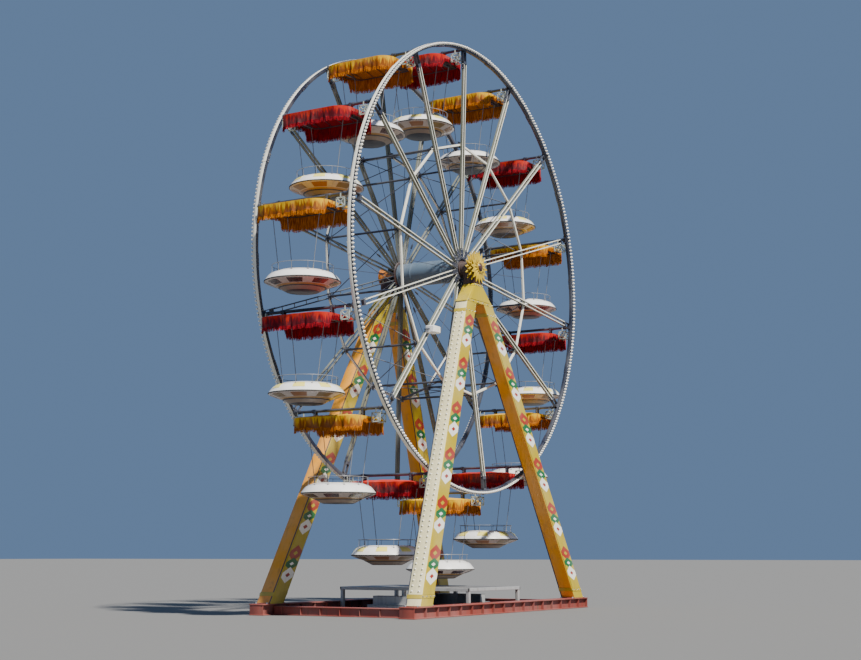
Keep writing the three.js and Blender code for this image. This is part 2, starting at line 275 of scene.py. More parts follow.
def unit(vectors: Array) -> Array:
    """Vectors scaled to length one, along the last axis."""
    return vectors / np.linalg.norm(vectors, axis=-1, keepdims=True)


def turns(count: int) -> Array:
    """Angles in even steps round a full turn, from zero."""
    return np.arange(count) * 2 * math.pi / count


def circle(radius: float, sides: int = 8) -> Array:
    """Points of a circle: radius times (cos a, sin a), for even steps of a."""
    angle = turns(sides)
    return radius * np.stack([np.cos(angle), np.sin(angle)], -1)


def running_length(line: Array) -> Array:
    """The length of a line from its start to each of its points."""
    return np.concatenate([[0], np.cumsum(np.linalg.norm(np.diff(line, axis=0), axis=1))])


def soft_rectangle(width: float, height: float, radius: float, steps: int = 2) -> Array:
    """Outline of a rectangle whose corners are quarter circles of the given radius.

    Args:
        width: Its whole width.
        height: Its whole height.
        radius: The corners' radius.
        steps: How many edges round a corner.

    Returns:
        Its points in order, 4 (steps + 1) of them.
    """
    turn = np.linspace(0, math.pi / 2, steps + 1)
    angle = (turn[None] + np.arange(4)[:, None] * math.pi / 2).ravel()
    signs = np.array([[1, 1], [-1, 1], [-1, -1], [1, -1]]).repeat(steps + 1, axis=0)
    middle = signs * np.array([width / 2 - radius, height / 2 - radius])
    return middle + radius * np.stack([np.cos(angle), np.sin(angle)], -1)


def turned(profile: Array, sides: int, axis: Array = UPWARD, finish: int | Array = 0) -> Surface:
    """A profile turned about an axis through the origin.

    Each point is radius (cos a, sin a) across the axis plus height along it.

    Args:
        profile: Points of (radius, height).
        sides: How many faces go round.
        axis: The axis.
        finish: One finish number, or one for each edge of the profile.

    Returns:
        The surface, open where the profile is.
    """
    angle = np.linspace(0, 2 * math.pi, sides + 1)
    first = UPWARD if abs(axis[2]) < 0.5 else RIGHTWARD
    second = np.cross(axis, first)
    across = np.cos(angle)[:, None] * first + np.sin(angle)[:, None] * second
    points = profile[:, None, :1] * across[None] + profile[:, None, 1:] * axis
    length = running_length(profile)
    around = np.broadcast_to(angle[None] / (2 * math.pi), (len(profile), sides + 1))
    uv = np.stack([around, np.broadcast_to(length[:, None], around.shape)], -1)
    return Surface.grid(points, uv, np.repeat(np.broadcast_to(finish, len(profile) - 1), sides))


def swept(path: Array, profile: Array, up: Array, closed: bool = False, finish: int = 0) -> Surface:
    """A closed profile carried along a path.

    Each point is path(i) + x(j) side(i) + y(j) out(i), where side is up x tangent and out is
    tangent x side.

    Args:
        path: Count by three.
        profile: The section's outline.
        up: A direction that the path never follows.
        closed: Whether the path ends where it starts.
        finish: The finish number.

    Returns:
        The surface, with a flat cover at both ends of an open path.
    """
    line = np.vstack([path, path[:1]]) if closed else path
    if closed:
        tangent = unit(np.roll(path, -1, axis=0) - np.roll(path, 1, axis=0))
        tangent = np.vstack([tangent, tangent[:1]])
    else:
        tangent = unit(np.gradient(line, axis=0))
    side = unit(np.cross(np.broadcast_to(up, tangent.shape), tangent))
    out = np.cross(tangent, side)
    ring = np.vstack([profile, profile[:1]])
    points = line[:, None] + ring[None, :, :1] * side[:, None] + ring[None, :, 1:] * out[:, None]
    uv = np.stack(np.meshgrid(running_length(ring), running_length(line)), -1)
    return Surface.grid(points, uv, finish) if closed else Surface.tube(points, uv, finish, finish)


def struts(starts: Array, ends: Array, profile: Array, up: Array, finish: int | Array = 0) -> Surface:
    """Straight members of one section between many pairs of points, worked out all at once.

    Args:
        starts: Count by three.
        ends: Count by three.
        profile: The section's outline, its x across up and the member, its y towards up.
        up: One direction, or one for each member.
        finish: One finish number, or one for each edge of the section.

    Returns:
        The members, each closed with a cover at both ends.
    """
    starts, ends = np.atleast_2d(starts), np.atleast_2d(ends)
    along = unit(ends - starts)
    side = unit(np.cross(np.broadcast_to(up, along.shape), along))
    out = np.cross(along, side)
    section = profile[None, :, :1] * side[:, None] + profile[None, :, 1:] * out[:, None]
    low, high = starts[:, None] + section, ends[:, None] + section
    count, sides = len(starts), len(profile)
    points = np.concatenate([low, high, starts[:, None], ends[:, None]], axis=1)
    near = np.arange(sides)
    far = (near + 1) % sides
    wall = np.stack([near, far, far + sides, near + sides], -1)
    foot, head = np.full(sides, 2 * sides), np.full(sides, 2 * sides + 1)
    faces = np.vstack([wall, np.stack([near, far, foot, foot], -1),
                       np.stack([near + sides, far + sides, head, head], -1)])
    shift = np.arange(count)[:, None, None] * (2 * sides + 2)
    length = np.linalg.norm(ends - starts, axis=1)
    uv = np.zeros((count, 2 * sides + 2, 2))
    uv[:, :2 * sides, 0] = np.tile(near / sides, 2)
    uv[:, sides:2 * sides, 1] = length[:, None]
    numbers = np.tile(np.broadcast_to(finish, sides), 3 * count).astype(np.int32)
    return Surface(points.reshape(-1, 3), (faces[None] + shift).reshape(-1, 4), uv.reshape(-1, 2), numbers)


def outer_finish(profile: Array, outer: int, rest: int) -> Array:
    """Finish numbers for a section's edges: one for those at its highest y, another for the rest."""
    middle = (profile + np.roll(profile, -1, axis=0))[:, 1] / 2
    return np.where(middle > 0.92 * profile[:, 1].max(), outer, rest)


def slab(top: Array, bottom: Array, uv: Array | None = None, finish: int = 0) -> Surface:
    """A closed body between two grids of points of the same size, with walls round their edges.

    Args:
        top: Rows by columns by three.
        bottom: The other grid.
        uv: The surface coordinates of both grids, or nothing.
        finish: The finish number.

    Returns:
        The body.
    """
    def border(grid: Array) -> Array:
        """The points round a grid's edge."""
        return np.concatenate([grid[0, :-1], grid[:-1, -1], grid[-1, :0:-1], grid[::-1, 0]])

    walls = Surface.grid(np.stack([border(top), border(bottom)]), finish=finish)
    return Surface.join(Surface.grid(top, uv, finish), Surface.grid(bottom, uv, finish), walls)


def block(low: Triple, high: Triple, bevel: float = 0.006, finish: int = 0) -> Surface:
    """An upright box between two corners with its four upright edges and its rims bevelled.

    Args:
        low: Its lowest corner.
        high: Its highest corner.
        bevel: What is taken off each edge, at most a third of the shortest side.
        finish: The finish number.

    Returns:
        The box.
    """
    low_point, high_point = np.array(low, float), np.array(high, float)
    size = high_point - low_point
    bevel = min(bevel, size.min() / 3)
    middle = (low_point + high_point) / 2
    wide = soft_rectangle(size[0], size[1], bevel, 2)
    narrow = wide * (1 - 2 * bevel / size[:2])
    heights = np.array([low_point[2], low_point[2] + bevel, high_point[2] - bevel, high_point[2]])
    rings = np.stack([narrow, wide, wide, narrow])
    rings = np.concatenate([rings, rings[:, :1]], axis=1) + middle[:2]
    points = np.concatenate([rings, np.broadcast_to(heights[:, None, None], rings.shape[:2] + (1,))], -1)
    return Surface.tube(points, None, finish, finish)


def frames(places: Array, across: Array, along: Array) -> Array:
    """Matrices that carry a shape from the origin to each place.

    Args:
        places: Count by three.
        across: Where x goes, one direction or one for each place.
        along: Where y goes, in the same way; z goes along across x along.

    Returns:
        Count 4 by 4 matrices.
    """
    across, along = unit(across), unit(along)
    matrices = np.zeros((len(places), 4, 4))
    matrices[:, :3, 0] = across
    matrices[:, :3, 1] = along
    matrices[:, :3, 2] = np.cross(across, along)
    matrices[:, :3, 3] = places
    matrices[:, 3, 3] = 1
    return matrices


def in_scene(name: str, data: bpy.types.ID) -> bpy.types.Object:
    """A new object in the scene from a mesh, a light or a camera."""
    made = bpy.data.objects.new(name, data)
    bpy.context.scene.collection.objects.link(made)
    return made


def piece(name: str, parts: list[Surface], materials: list[bpy.types.Material], body: str, slot: str,
          *nodes: str) -> bpy.types.Object:
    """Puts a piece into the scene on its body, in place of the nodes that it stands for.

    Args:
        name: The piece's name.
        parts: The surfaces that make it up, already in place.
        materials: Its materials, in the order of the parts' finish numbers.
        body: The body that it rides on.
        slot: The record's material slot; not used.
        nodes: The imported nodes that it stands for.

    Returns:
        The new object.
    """
    mesh = Surface.join(*parts).mesh(name, materials)
    made = in_scene(name, mesh)
    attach(made, body)
    if nodes:
        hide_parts(*nodes)
    LOG.info("%s: %d faces on %s", name, len(mesh.polygons), body)
    return made


# Shader building


class Tree:
    """Short forms for adding and joining the nodes of one shader tree."""

    def __init__(self, tree: bpy.types.NodeTree) -> None:
        """Keeps the tree that nodes are added to."""
        self.tree = tree

    def add(self, kind: str, inputs: dict | None = None, **settings: object) -> bpy.types.Node:
        """Adds a node, sets its properties, and sets or links its inputs by name or number.

        Args:
            kind: The node's type.
            inputs: A value or an output for each input.
            settings: Its properties.

        Returns:
            The node.
        """
        node = self.tree.nodes.new(kind)
        for key, value in settings.items():
            setattr(node, key, value)
        self.feed(node, inputs or {})
        return node

    def feed(self, node: bpy.types.Node, inputs: dict) -> None:
        """Sets or links a node's inputs by name or number."""
        for key, value in inputs.items():
            if isinstance(value, bpy.types.NodeSocket):
                self.tree.links.new(value, node.inputs[key])
            else:
                node.inputs[key].default_value = value

    def bump(self, height: object, strength: float, distance: float) -> object:
        """The normal output of a Bump node over a height."""
        node = self.add("ShaderNodeBump", {"Height": height, "Strength": strength, "Distance": distance})
        return node.outputs[0]

    def place(self, kind: str = "Object") -> object:
        """The place on the object, or its surface coordinates with UV."""
        return self.add("ShaderNodeTexCoord").outputs[kind]

    def math(self, operation: str, first: object, second: object = 0.0, third: object = 0.0) -> object:
        """The output of a Math node."""
        node = self.add("ShaderNodeMath", {0: first, 1: second, 2: third}, operation=operation)
        return node.outputs[0]

    def mix(self, share: object, first: object, second: object, blend: str = "MIX") -> object:
        """The colour output of a Mix node."""
        node = self.add("ShaderNodeMix", {0: share, 6: first, 7: second}, data_type="RGBA",
                        blend_type=blend)
        return node.outputs[2]

    def ramp(self, value: object, low: float, high: float, to_low: float = 0.0,
             to_high: float = 1.0) -> object:
        """A value mapped smoothly from one range to another and held at its ends."""
        node = self.add("ShaderNodeMapRange", {0: value, 1: low, 2: high, 3: to_low, 4: to_high},
                        interpolation_type="SMOOTHSTEP")
        return node.outputs[0]

    def noise(self, vector: object, scale: float, detail: float = 3.0, roughness: float = 0.55) -> object:
        """The value output of a Noise Texture."""
        node = self.add("ShaderNodeTexNoise", {"Vector": vector, "Scale": scale, "Detail": detail,
                                               "Roughness": roughness})
        return node.outputs["Fac"]

    def stretched(self, vector: object, scale: Triple) -> object:
        """A vector scaled along each axis."""
        node = self.add("ShaderNodeVectorMath", {0: vector, 1: scale}, operation="MULTIPLY")
        return node.outputs[0]

    def split(self, vector: object) -> tuple[object, object, object]:
        """The three components of a vector."""
        node = self.add("ShaderNodeSeparateXYZ", {0: vector})
        return node.outputs[0], node.outputs[1], node.outputs[2]


def new_group(name: str, inputs: list[tuple[str, str]], outputs: list[tuple[str, str]],
              ) -> tuple[bpy.types.NodeTree, Tree, object, bpy.types.Node]:
    """A new shader group with named sockets.

    Args:
        name: Its name.
        inputs: The name and kind of each input.
        outputs: The name and kind of each output.

    Returns:
        The group, its tree, what it is given, and its output node.
    """
    group = bpy.data.node_groups.new(name, "ShaderNodeTree")
    for socket, kind in inputs:
        group.interface.new_socket(socket, in_out="INPUT", socket_type=kind)
    for socket, kind in outputs:
        group.interface.new_socket(socket, in_out="OUTPUT", socket_type=kind)
    tree = Tree(group)
    return group, tree, tree.add("NodeGroupInput").outputs, tree.add("NodeGroupOutput")


def new_material(name: str) -> tuple[bpy.types.Material, Tree, bpy.types.Node]:
    """A new material, its tree and its Principled BSDF."""
    made = bpy.data.materials.new(name)
    made.use_nodes = True
    return made, Tree(made.node_tree), made.node_tree.nodes["Principled BSDF"]


NUMBER, COLOUR, VECTOR = "NodeSocketFloat", "NodeSocketColor", "NodeSocketVector"


def weathering_group() -> bpy.types.NodeTree:
    """Fading, rain streaks, dust and chips on a painted surface.

    Fading is slow noise, streaks are noise drawn out along Z, dust grows towards the ground, and
    chips are where fine noise passes a high threshold.
    """
    group, tree, given, out = new_group(
        "weathering",
        [("Vector", VECTOR), ("Paint", COLOUR), ("Dirt", COLOUR), ("Bare", COLOUR),
         ("Grime", NUMBER), ("Chips", NUMBER), ("Roughness", NUMBER)],
        [("Color", COLOUR), ("Roughness", NUMBER), ("Height", NUMBER)],
    )
    vector = given["Vector"]
    fade = tree.ramp(tree.noise(vector, 0.9, 4), 0.35, 0.7)
    faded = tree.mix(tree.math("MULTIPLY", fade, 0.09), given["Paint"], (0.86, 0.86, 0.84, 1))
    streak = tree.noise(tree.stretched(vector, (9.0, 9.0, 0.7)), 1.0, 5, 0.6)
    spots = tree.noise(vector, 5.0, 6, 0.65)
    dirt = tree.math("MULTIPLY", tree.ramp(streak, 0.48, 0.75), tree.ramp(spots, 0.3, 0.65, 0.35, 1.0))
    low = tree.ramp(tree.split(vector)[2], 0.0, 1.6, 0.35, 0.0)
    dirt = tree.math("MULTIPLY", tree.math("ADD", dirt, low), given["Grime"])
    soiled = tree.mix(dirt, faded, given["Dirt"])
    flakes = tree.noise(vector, 21.0, 8, 0.7)
    chip = tree.math("MULTIPLY", tree.ramp(flakes, 0.655, 0.675), given["Chips"])
    ring = tree.math("MULTIPLY", tree.ramp(flakes, 0.63, 0.67), given["Chips"])
    edged = tree.mix(tree.math("MULTIPLY", ring, 0.5), soiled, given["Dirt"])
    rough = tree.math("MULTIPLY_ADD", dirt, 0.4, given["Roughness"])
    peel = tree.math("MULTIPLY", tree.noise(vector, 60.0, 2), 0.12)
    tree.feed(out, {
        "Color": tree.mix(chip, edged, given["Bare"]),
        "Roughness": tree.math("MULTIPLY_ADD", chip, 0.3, tree.math("MULTIPLY_ADD", spots, 0.1, rough)),
        "Height": tree.math("SUBTRACT", peel, tree.math("MULTIPLY", chip, 0.6)),
    })
    return group


def weave_group() -> bpy.types.NodeTree:
    """Plain weave: height is |sin(pi u)| over |sin(pi v)| in turn, the tint follows slow noise, and the gaps
    between threads are darkened towards the shade colour as painted shade.
    """
    group, tree, given, out = new_group(
        "plain_weave",
        [("Surface", VECTOR), ("Threads", NUMBER), ("Color", COLOUR), ("Shade", COLOUR)],
        [("Color", COLOUR), ("Height", NUMBER)],
    )
    u, v, _ = tree.split(given["Surface"])
    warp = tree.math("ABSOLUTE", tree.math("SINE", tree.math("MULTIPLY", u, given["Threads"])))
    weft = tree.math("ABSOLUTE", tree.math("SINE", tree.math("MULTIPLY", v, given["Threads"])))
    height = tree.math("MAXIMUM", warp, weft)
    cloudy = tree.ramp(tree.noise(given["Surface"], 2.6, 5, 0.6), 0.35, 0.7)
    tint = tree.mix(tree.math("MULTIPLY", cloudy, 0.5), given["Color"], given["Shade"])
    # Painted shade: the gaps between threads darkened towards the shade colour.
    dark = tree.mix(tree.math("MULTIPLY", tree.math("SUBTRACT", 1.0, height), 0.35), tint, given["Shade"])
    tree.feed(out, {"Color": dark, "Height": height})
    return group


class Groups:
    """The shader groups that several finishes share, each built once."""

    def __init__(self) -> None:
        """Builds the groups."""
        self.weathering = weathering_group()
        self.weave = weave_group()


def opaque(colour: Triple) -> tuple[float, float, float, float]:
    """A colour with full alpha."""
    return (*colour, 1.0)


@dataclass(frozen=True)
class Enamel:
    """Brushed or sprayed gloss paint over steel or moulded plastic."""

    name: str
    colour: Triple
    roughness: float = 0.35
    grime: float = 0.4
    chips: float = 0.5
    dirt: Triple = (0.12, 0.09, 0.06)
    bare: Triple = (0.22, 0.1, 0.05)
    coat: float = 0.15
    metallic: float = 0.0
    bump: float = 0.12

    def paint(self, tree: Tree) -> object:
        """The paint's own colour, before weather."""
        return opaque(self.colour)

    def material(self, groups: Groups) -> bpy.types.Material:
        """Builds the material: weathered paint, with its bump, under a thin coat."""
        made, tree, shader = new_material(self.name)
        worn = tree.add("ShaderNodeGroup", {
            "Vector": tree.place(), "Paint": self.paint(tree), "Dirt": opaque(self.dirt),
            "Bare": opaque(self.bare), "Grime": self.grime, "Chips": self.chips,
            "Roughness": self.roughness,
        }, node_tree=groups.weathering).outputs
        tree.feed(shader, {
            "Base Color": worn["Color"], "Roughness": worn["Roughness"], "Metallic": self.metallic,
            "Normal": tree.bump(worn["Height"], self.bump, 0.01),
            "Coat Weight": self.coat, "Coat Roughness": 0.2,
        })
        return made


@dataclass(frozen=True)
class LozengeBoard(Enamel):
    """Painted leg board: three lozenges of other colours in turn along it.

    The board's surface coordinates are metres: u from its middle line, v along it.
    """

    period: float = 1.45
    phase: float = 0.208
    half_width: float = 0.3
    red: Triple = (0.36, 0.025, 0.0)
    green: Triple = (0.0, 0.13, 0.025)
    white: Triple = (0.92, 0.9, 0.8)

    def paint(self, tree: Tree) -> object:
        """The ground colour with the lozenges over it.

        A lozenge covers 0.8 |across| + |turn - middle| / reach < 1, and its core the middle of that.
        """
        u, v, _ = tree.split(tree.place("UV"))
        across = tree.math("DIVIDE", tree.math("ABSOLUTE", u), self.half_width)
        turn = tree.math("FRACT", tree.math("SUBTRACT", self.phase, tree.math("DIVIDE", v, self.period)))
        wide = tree.math("MULTIPLY", across, 0.8)
        colour = opaque(self.colour)
        lozenges = [(0.18, 0.17, self.red, self.colour), (0.4, 0.13, self.green, self.white),
                    (0.63, 0.17, self.white, self.red)]
        for middle, reach, tone, core in lozenges:
            away = tree.math("ABSOLUTE", tree.math("SUBTRACT", turn, middle))
            lozenge = tree.math("MULTIPLY_ADD", away, 1 / reach, wide)
            colour = tree.mix(tree.ramp(lozenge, 1.0, 0.96), colour, opaque(tone))
            colour = tree.mix(tree.ramp(lozenge, 0.3, 0.27), colour, opaque(core))
        return colour


@dataclass(frozen=True)
class TreadPlate(Enamel):
    """Bare aluminium sheet with raised bars laid in turn across each other."""

    pitch: float = 0.04

    def material(self, groups: Groups) -> bpy.types.Material:
        """Builds the material, with the raised bars added to its bump."""
        made = super().material(groups)
        tree = Tree(made.node_tree)
        skewed = tree.add("ShaderNodeVectorRotate", {"Vector": tree.place(), "Angle": math.pi / 4},
                          rotation_type="Z_AXIS").outputs[0]
        x, y, _ = tree.split(skewed)
        cell_x = tree.math("DIVIDE", x, self.pitch)
        cell_y = tree.math("DIVIDE", y, self.pitch)
        odd = tree.math("MODULO", tree.math("ABSOLUTE", tree.math(
            "ADD", tree.math("FLOOR", cell_x), tree.math("FLOOR", cell_y))), 2.0)
        fx = tree.math("ABSOLUTE", tree.math("SUBTRACT", tree.math("FRACT", cell_x), 0.5))
        fy = tree.math("ABSOLUTE", tree.math("SUBTRACT", tree.math("FRACT", cell_y), 0.5))
        first = tree.math("MULTIPLY", tree.ramp(fx, 0.14, 0.08), tree.ramp(fy, 0.44, 0.38))
        second = tree.math("MULTIPLY", tree.ramp(fx, 0.44, 0.38), tree.ramp(fy, 0.14, 0.08))
        bars = tree.add("ShaderNodeMix", {0: odd, 2: first, 3: second}, data_type="FLOAT").outputs[0]
        tree.feed(made.node_tree.nodes["Principled BSDF"], {"Normal": tree.bump(bars, 0.5, 0.004)})
        return made


@dataclass(frozen=True)
class PrintedCloth:
    """Coated canopy cloth with uneven printed drops and painted fold shade down the valance.

    Surface coordinates are metres: u round the canopy, v from the crown down, measured from the eave.
    """

    name: str
    colour: Triple
    shade: Triple
    print_colour: Triple
    band_depth: float = 0.3
    print_share: float = 0.9
    fold_shade_share: float = 0.9
    roughness: float = 0.75

    def material(self, groups: Groups) -> bpy.types.Material:
        """Builds the material: weave, printed drops that thin out downwards as painted shade, painted fold
        shade that grows downwards, and dust.

        With down from 0 at the eave to 1 at the hem, drops are where noise(7 u, 1.2 v) - 0.22 down is high,
        and the painted fold shade where noise(11 u, 1.5 v) + 0.3 down is high.
        """
        made, tree, shader = new_material(self.name)
        place = tree.place("UV")
        woven = tree.add("ShaderNodeGroup", {"Surface": place, "Threads": 1400.0,
                                             "Color": opaque(self.colour), "Shade": opaque(self.shade)},
                         node_tree=groups.weave)
        down = tree.math("DIVIDE", tree.split(place)[1], self.band_depth)
        valance = tree.ramp(down, -0.05, 0.1)
        drops = tree.noise(tree.stretched(place, (7.0, 1.2, 1.0)), 1.0, 2)
        # Printed drops, thinned towards the hem as painted shade that keeps the eave brightest.
        drops = tree.ramp(tree.math("MULTIPLY_ADD", down, -0.22, drops), 0.36, 0.46)
        # Painted shade: dark fold streaks down the valance, growing towards the hem.
        folds = tree.noise(tree.stretched(place, (11.0, 1.5, 1.0)), 1.0, 3)
        folds = tree.ramp(tree.math("MULTIPLY_ADD", down, 0.3, folds), 0.56, 0.72)
        drops = tree.math("MULTIPLY", drops, self.print_share)
        folds = tree.math("MULTIPLY", tree.math("MULTIPLY", folds, valance), self.fold_shade_share)
        printed = tree.mix(drops, woven.outputs["Color"], opaque(self.print_colour))
        folded = tree.mix(folds, printed, opaque(self.shade))
        dust = tree.ramp(tree.noise(tree.place(), 2.2, 6, 0.62), 0.45, 0.75, 0.0, 0.12)
        tree.feed(shader, {
            "Base Color": tree.mix(dust, folded, (0.55, 0.5, 0.44, 1)),
            "Roughness": tree.ramp(dust, 0.0, 0.12, self.roughness, 0.9),
            "Normal": tree.bump(woven.outputs["Height"], 0.25, 0.002),
            "Sheen Weight": 0.05, "Specular IOR Level": 0.2,
        })
        return made


@dataclass(frozen=True)
class Thread:
    """Loose fringe thread: the colour darkens and breaks up from strand to strand."""

    name: str
    colour: Triple
    shade: Triple

    def material(self, groups: Groups) -> bpy.types.Material:
        """Builds the material from fine noise drawn out along the strands."""
        made, tree, shader = new_material(self.name)
        where = tree.place()
        strand = tree.noise(tree.stretched(where, (55.0, 55.0, 4.0)), 1.0, 3)
        fibre = tree.noise(tree.stretched(where, (700.0, 700.0, 90.0)), 1.0, 2)
        colour = tree.mix(tree.ramp(strand, 0.35, 0.65), opaque(self.shade), opaque(self.colour))
        tree.feed(shader, {
            "Base Color": colour, "Roughness": tree.ramp(fibre, 0.3, 0.7, 0.7, 0.95),
            "Normal": tree.bump(fibre, 0.4, 0.003), "Specular IOR Level": 0.2,
        })
        return made


class Finishes:
    """Every material of the wheel, built once and found by name."""

    def __init__(self) -> None:
        """Builds the materials from their finishes."""
        groups = Groups()
        made = [
            Enamel("cream_enamel", (0.86, 0.84, 0.72), 0.38, 0.3, 0.4),
            Enamel("green_cream_enamel", (0.5, 0.56, 0.48), 0.4, 0.4, 0.4),
            Enamel("dark_enamel", (0.012, 0.018, 0.04), 0.42, 0.2, 0.4, dirt=(0.08, 0.07, 0.06)),
            Enamel("axle_enamel", (0.1, 0.15, 0.21), 0.42, 0.45, 0.5, dirt=(0.05, 0.045, 0.04)),
            # Near-black maroon: the hub flanges' paint, and painted shade on the pedestals and the near
            # bearings.
            Enamel("bearing_enamel", (0.04, 0.012, 0.008), 0.5, 0.6, 0.7),
            # Painted shade: dark olive standing in for the cream paint in shade, on the spokes' side faces
            # and ties.
            Enamel("spoke_side_shade", (0.19, 0.2, 0.15), 0.4, 0.4, 0.5),
            Enamel("leg_yellow", (0.5, 0.37, 0.0), 0.33, 0.15, 0.4),
            Enamel("leg_cream", (0.88, 0.8, 0.46), 0.38, 0.3, 0.4),
            # Painted shade: an orange copy of the leg yellow as it looks in shade.
            Enamel("leg_shade_orange", (0.9, 0.36, 0.0), 0.38, 0.35, 0.4),
            LozengeBoard("leg_board", (0.5, 0.37, 0.0), 0.3, 0.2, 0.25),
            Enamel("sun_enamel", (0.62, 0.42, 0.0), 0.28, 0.2, 0.2, coat=0.3),
            Enamel("sun_centre", (0.06, 0.015, 0.004), 0.35, 0.4, 0.4),
            Enamel("cap_enamel", (0.5, 0.17, 0.02), 0.4, 0.4, 0.5),
            Enamel("base_red", (0.3, 0.035, 0.025), 0.45, 0.7, 0.8),
            Enamel("tub_white", (0.9, 0.89, 0.86), 0.2, 0.2, 0.1, bare=(0.4, 0.38, 0.35), coat=0.5),
            # Painted shade: the white gelcoat of the lower cone as it looks in shade.
            Enamel("cone_shade_grey", (0.5, 0.42, 0.38), 0.25, 0.35, 0.1, bare=(0.4, 0.38, 0.35), coat=0.4),
            Enamel("tub_inside", (0.5, 0.49, 0.46), 0.35, 0.5, 0.2, bare=(0.3, 0.29, 0.27)),
            Enamel("panel_maroon", (0.03, 0.003, 0.008), 0.22, 0.25, 0.15, coat=0.5),
            Enamel("panel_ochre", (0.2, 0.12, 0.03), 0.25, 0.3, 0.15, coat=0.4),
            Enamel("panel_orange", (0.28, 0.1, 0.02), 0.25, 0.3, 0.15, coat=0.4),
            Enamel("deck_yellow", (0.9, 0.78, 0.16), 0.25, 0.2, 0.15, coat=0.4),
            Enamel("band_gold", (0.38, 0.2, 0.04), 0.3, 0.35, 0.15, coat=0.4),
            # Painted shade: the white gelcoat of the lower bowl, darker still in shade.
            Enamel("bowl_shade_grey", (0.25, 0.19, 0.15), 0.35, 0.5, 0.2, bare=(0.3, 0.29, 0.27)),
            Enamel("rod_grey", (0.2, 0.21, 0.23), 0.35, 0.3, 0.3),
            Enamel("bench_brown", (0.16, 0.07, 0.03), 0.45, 0.4, 0.2),
            Enamel("pale_steel", (0.55, 0.56, 0.55), 0.35, 0.35, 0.3, metallic=0.4),
            Enamel("bolt_zinc", (0.5, 0.5, 0.5), 0.35, 0.3, 0.0, metallic=0.9, coat=0.0),
            Enamel("lamp_cap", (0.95, 0.93, 0.84), 0.15, 0.1, 0.0, coat=0.6, bump=0.03),
            Enamel("rubber_pad", (0.02, 0.02, 0.02), 0.75, 0.6, 0.0, dirt=(0.2, 0.17, 0.13), coat=0.0),
            # Painted shade: dark brown for the shade under the roof's near end.
            Enamel("roof_shade_brown", (0.06, 0.02, 0.014), 0.8, 0.4, 0.0, coat=0.0, bump=0.05),
            TreadPlate("tread_plate", (0.42, 0.43, 0.44), 0.38, 0.5, 0.0, metallic=0.85, coat=0.0),
            PrintedCloth("red_cloth", (0.42, 0.001, 0.005), (0.09, 0.001, 0.008), (0.56, 0.018, 0.001)),
            PrintedCloth("yellow_cloth", (0.66, 0.25, 0.0), (0.22, 0.05, 0.001), (0.8, 0.46, 0.0)),
            Thread("red_thread", (0.42, 0.003, 0.01), (0.08, 0.001, 0.008)),
            Thread("yellow_thread", (0.62, 0.2, 0.003), (0.22, 0.05, 0.001)),
        ]
        self.materials = {finish.name: finish.material(groups) for finish in made}

    def pick(self, *names: str) -> list[bpy.types.Material]:
        """The named materials, in order."""
        return [self.materials[name] for name in names]


# Frame


@dataclass
class Layout:
    """Places that the frame gives: the hub, the cabin pivots and the angle of each spoke."""

    joints: list[dict]
    hub: Array = field(init=False)
    pivots: Array = field(init=False)
    radius: float = field(init=False)
    angles: Array = field(init=False)

    def __post_init__(self) -> None:
        """Reads the hub and the pivots from the joints and works out the rest."""
        places = {joint["name"]: np.array(joint["pos_m"]) for joint in self.joints}
        self.hub = places.pop("wheel_spin")
        self.pivots = np.array([places[name] for name in sorted(places)])
        arms = self.pivots - self.hub
        self.radius = float(np.linalg.norm(arms, axis=1).mean())
        self.angles = np.arctan2(arms[:, 0], arms[:, 2])

    @property
    def bay(self) -> float:
        """The angle between two spokes."""
        return 2 * math.pi / len(self.pivots)

    def at(self, radius: Number, angle: Number, y: Number) -> Array:
        """Points of the wheel at a radius, an angle from up towards +X, and a place on the axle.

        Args:
            radius: How far from the hub.
            angle: The angle.
            y: The place on the axle.

        Returns:
            The points, with one number or an array for each argument.
        """
        radius, angle, y = np.broadcast_arrays(radius, angle, y)
        arms = np.stack([radius * np.sin(angle), y, radius * np.cos(angle)], -1)
        return self.hub * np.array([1, 0, 1]) + arms

    def outward(self, angle: Array) -> Array:
        """Unit vectors away from the hub."""
        return np.stack([np.sin(angle), np.zeros_like(angle), np.cos(angle)], -1)

    def around(self, angle: Array) -> Array:
        """Unit vectors along the rim."""
        return np.stack([np.cos(angle), np.zeros_like(angle), -np.sin(angle)], -1)

    def facing(self, side: Side, angle: Array) -> tuple[Array, Array]:
        """Two directions in the plane of the wheel whose cross product points to a side."""
        pair = (self.around(angle), self.outward(angle))
        return pair if side is Side.NEAR else pair[::-1]

    def bolts(self, side: Side, radius: float, angle: Array, y: float, size: float, height: float,
              finish: int, aside: float = 0.0) -> Surface:
        """Bolt heads of a size and a height that face a side, moved aside along the rim.

        Args:
            side: The side they face.
            radius: How far they are from the hub.
            angle: The angle of each.
            y: Their place on the axle.
            size: A head's radius.
            height: How far it stands out.
            finish: The finish number.
            aside: How far they are moved.

        Returns:
            All the heads.
        """
        places = self.at(radius, angle, y) + self.around(angle) * aside
        return bolts(places, *self.facing(side, angle), size, height, finish)


def lamp_caps(places: Array, across: Array, along: Array, radius: float, height: float,
              socket: int, cap: int) -> Surface:
    """Small lamps at each place: a dark socket, then a dome with height(r) = sqrt(1 - r^2).

    Args:
        places: Where each lamp stands.
        across: A direction in each lamp's foot.
        along: A second direction in its foot; the lamp points along across x along.
        radius: The lamp's radius.
        height: How far it stands out.
        socket: The finish number of the socket.
        cap: The finish number of the dome.

    Returns:
        All the lamps.
    """
    rise = np.linspace(0, math.pi / 2, 4)
    dome = np.stack([radius * np.cos(rise), height * (0.25 + 0.75 * np.sin(rise))], -1)
    holder = np.array([[0, 0], [radius * 0.8, 0], [radius * 0.8, height * 0.22]])
    lamp = turned(np.vstack([holder, dome]), 8, finish=np.array([socket] * 2 + [cap] * 4))
    return lamp.placed(frames(places, across, along))


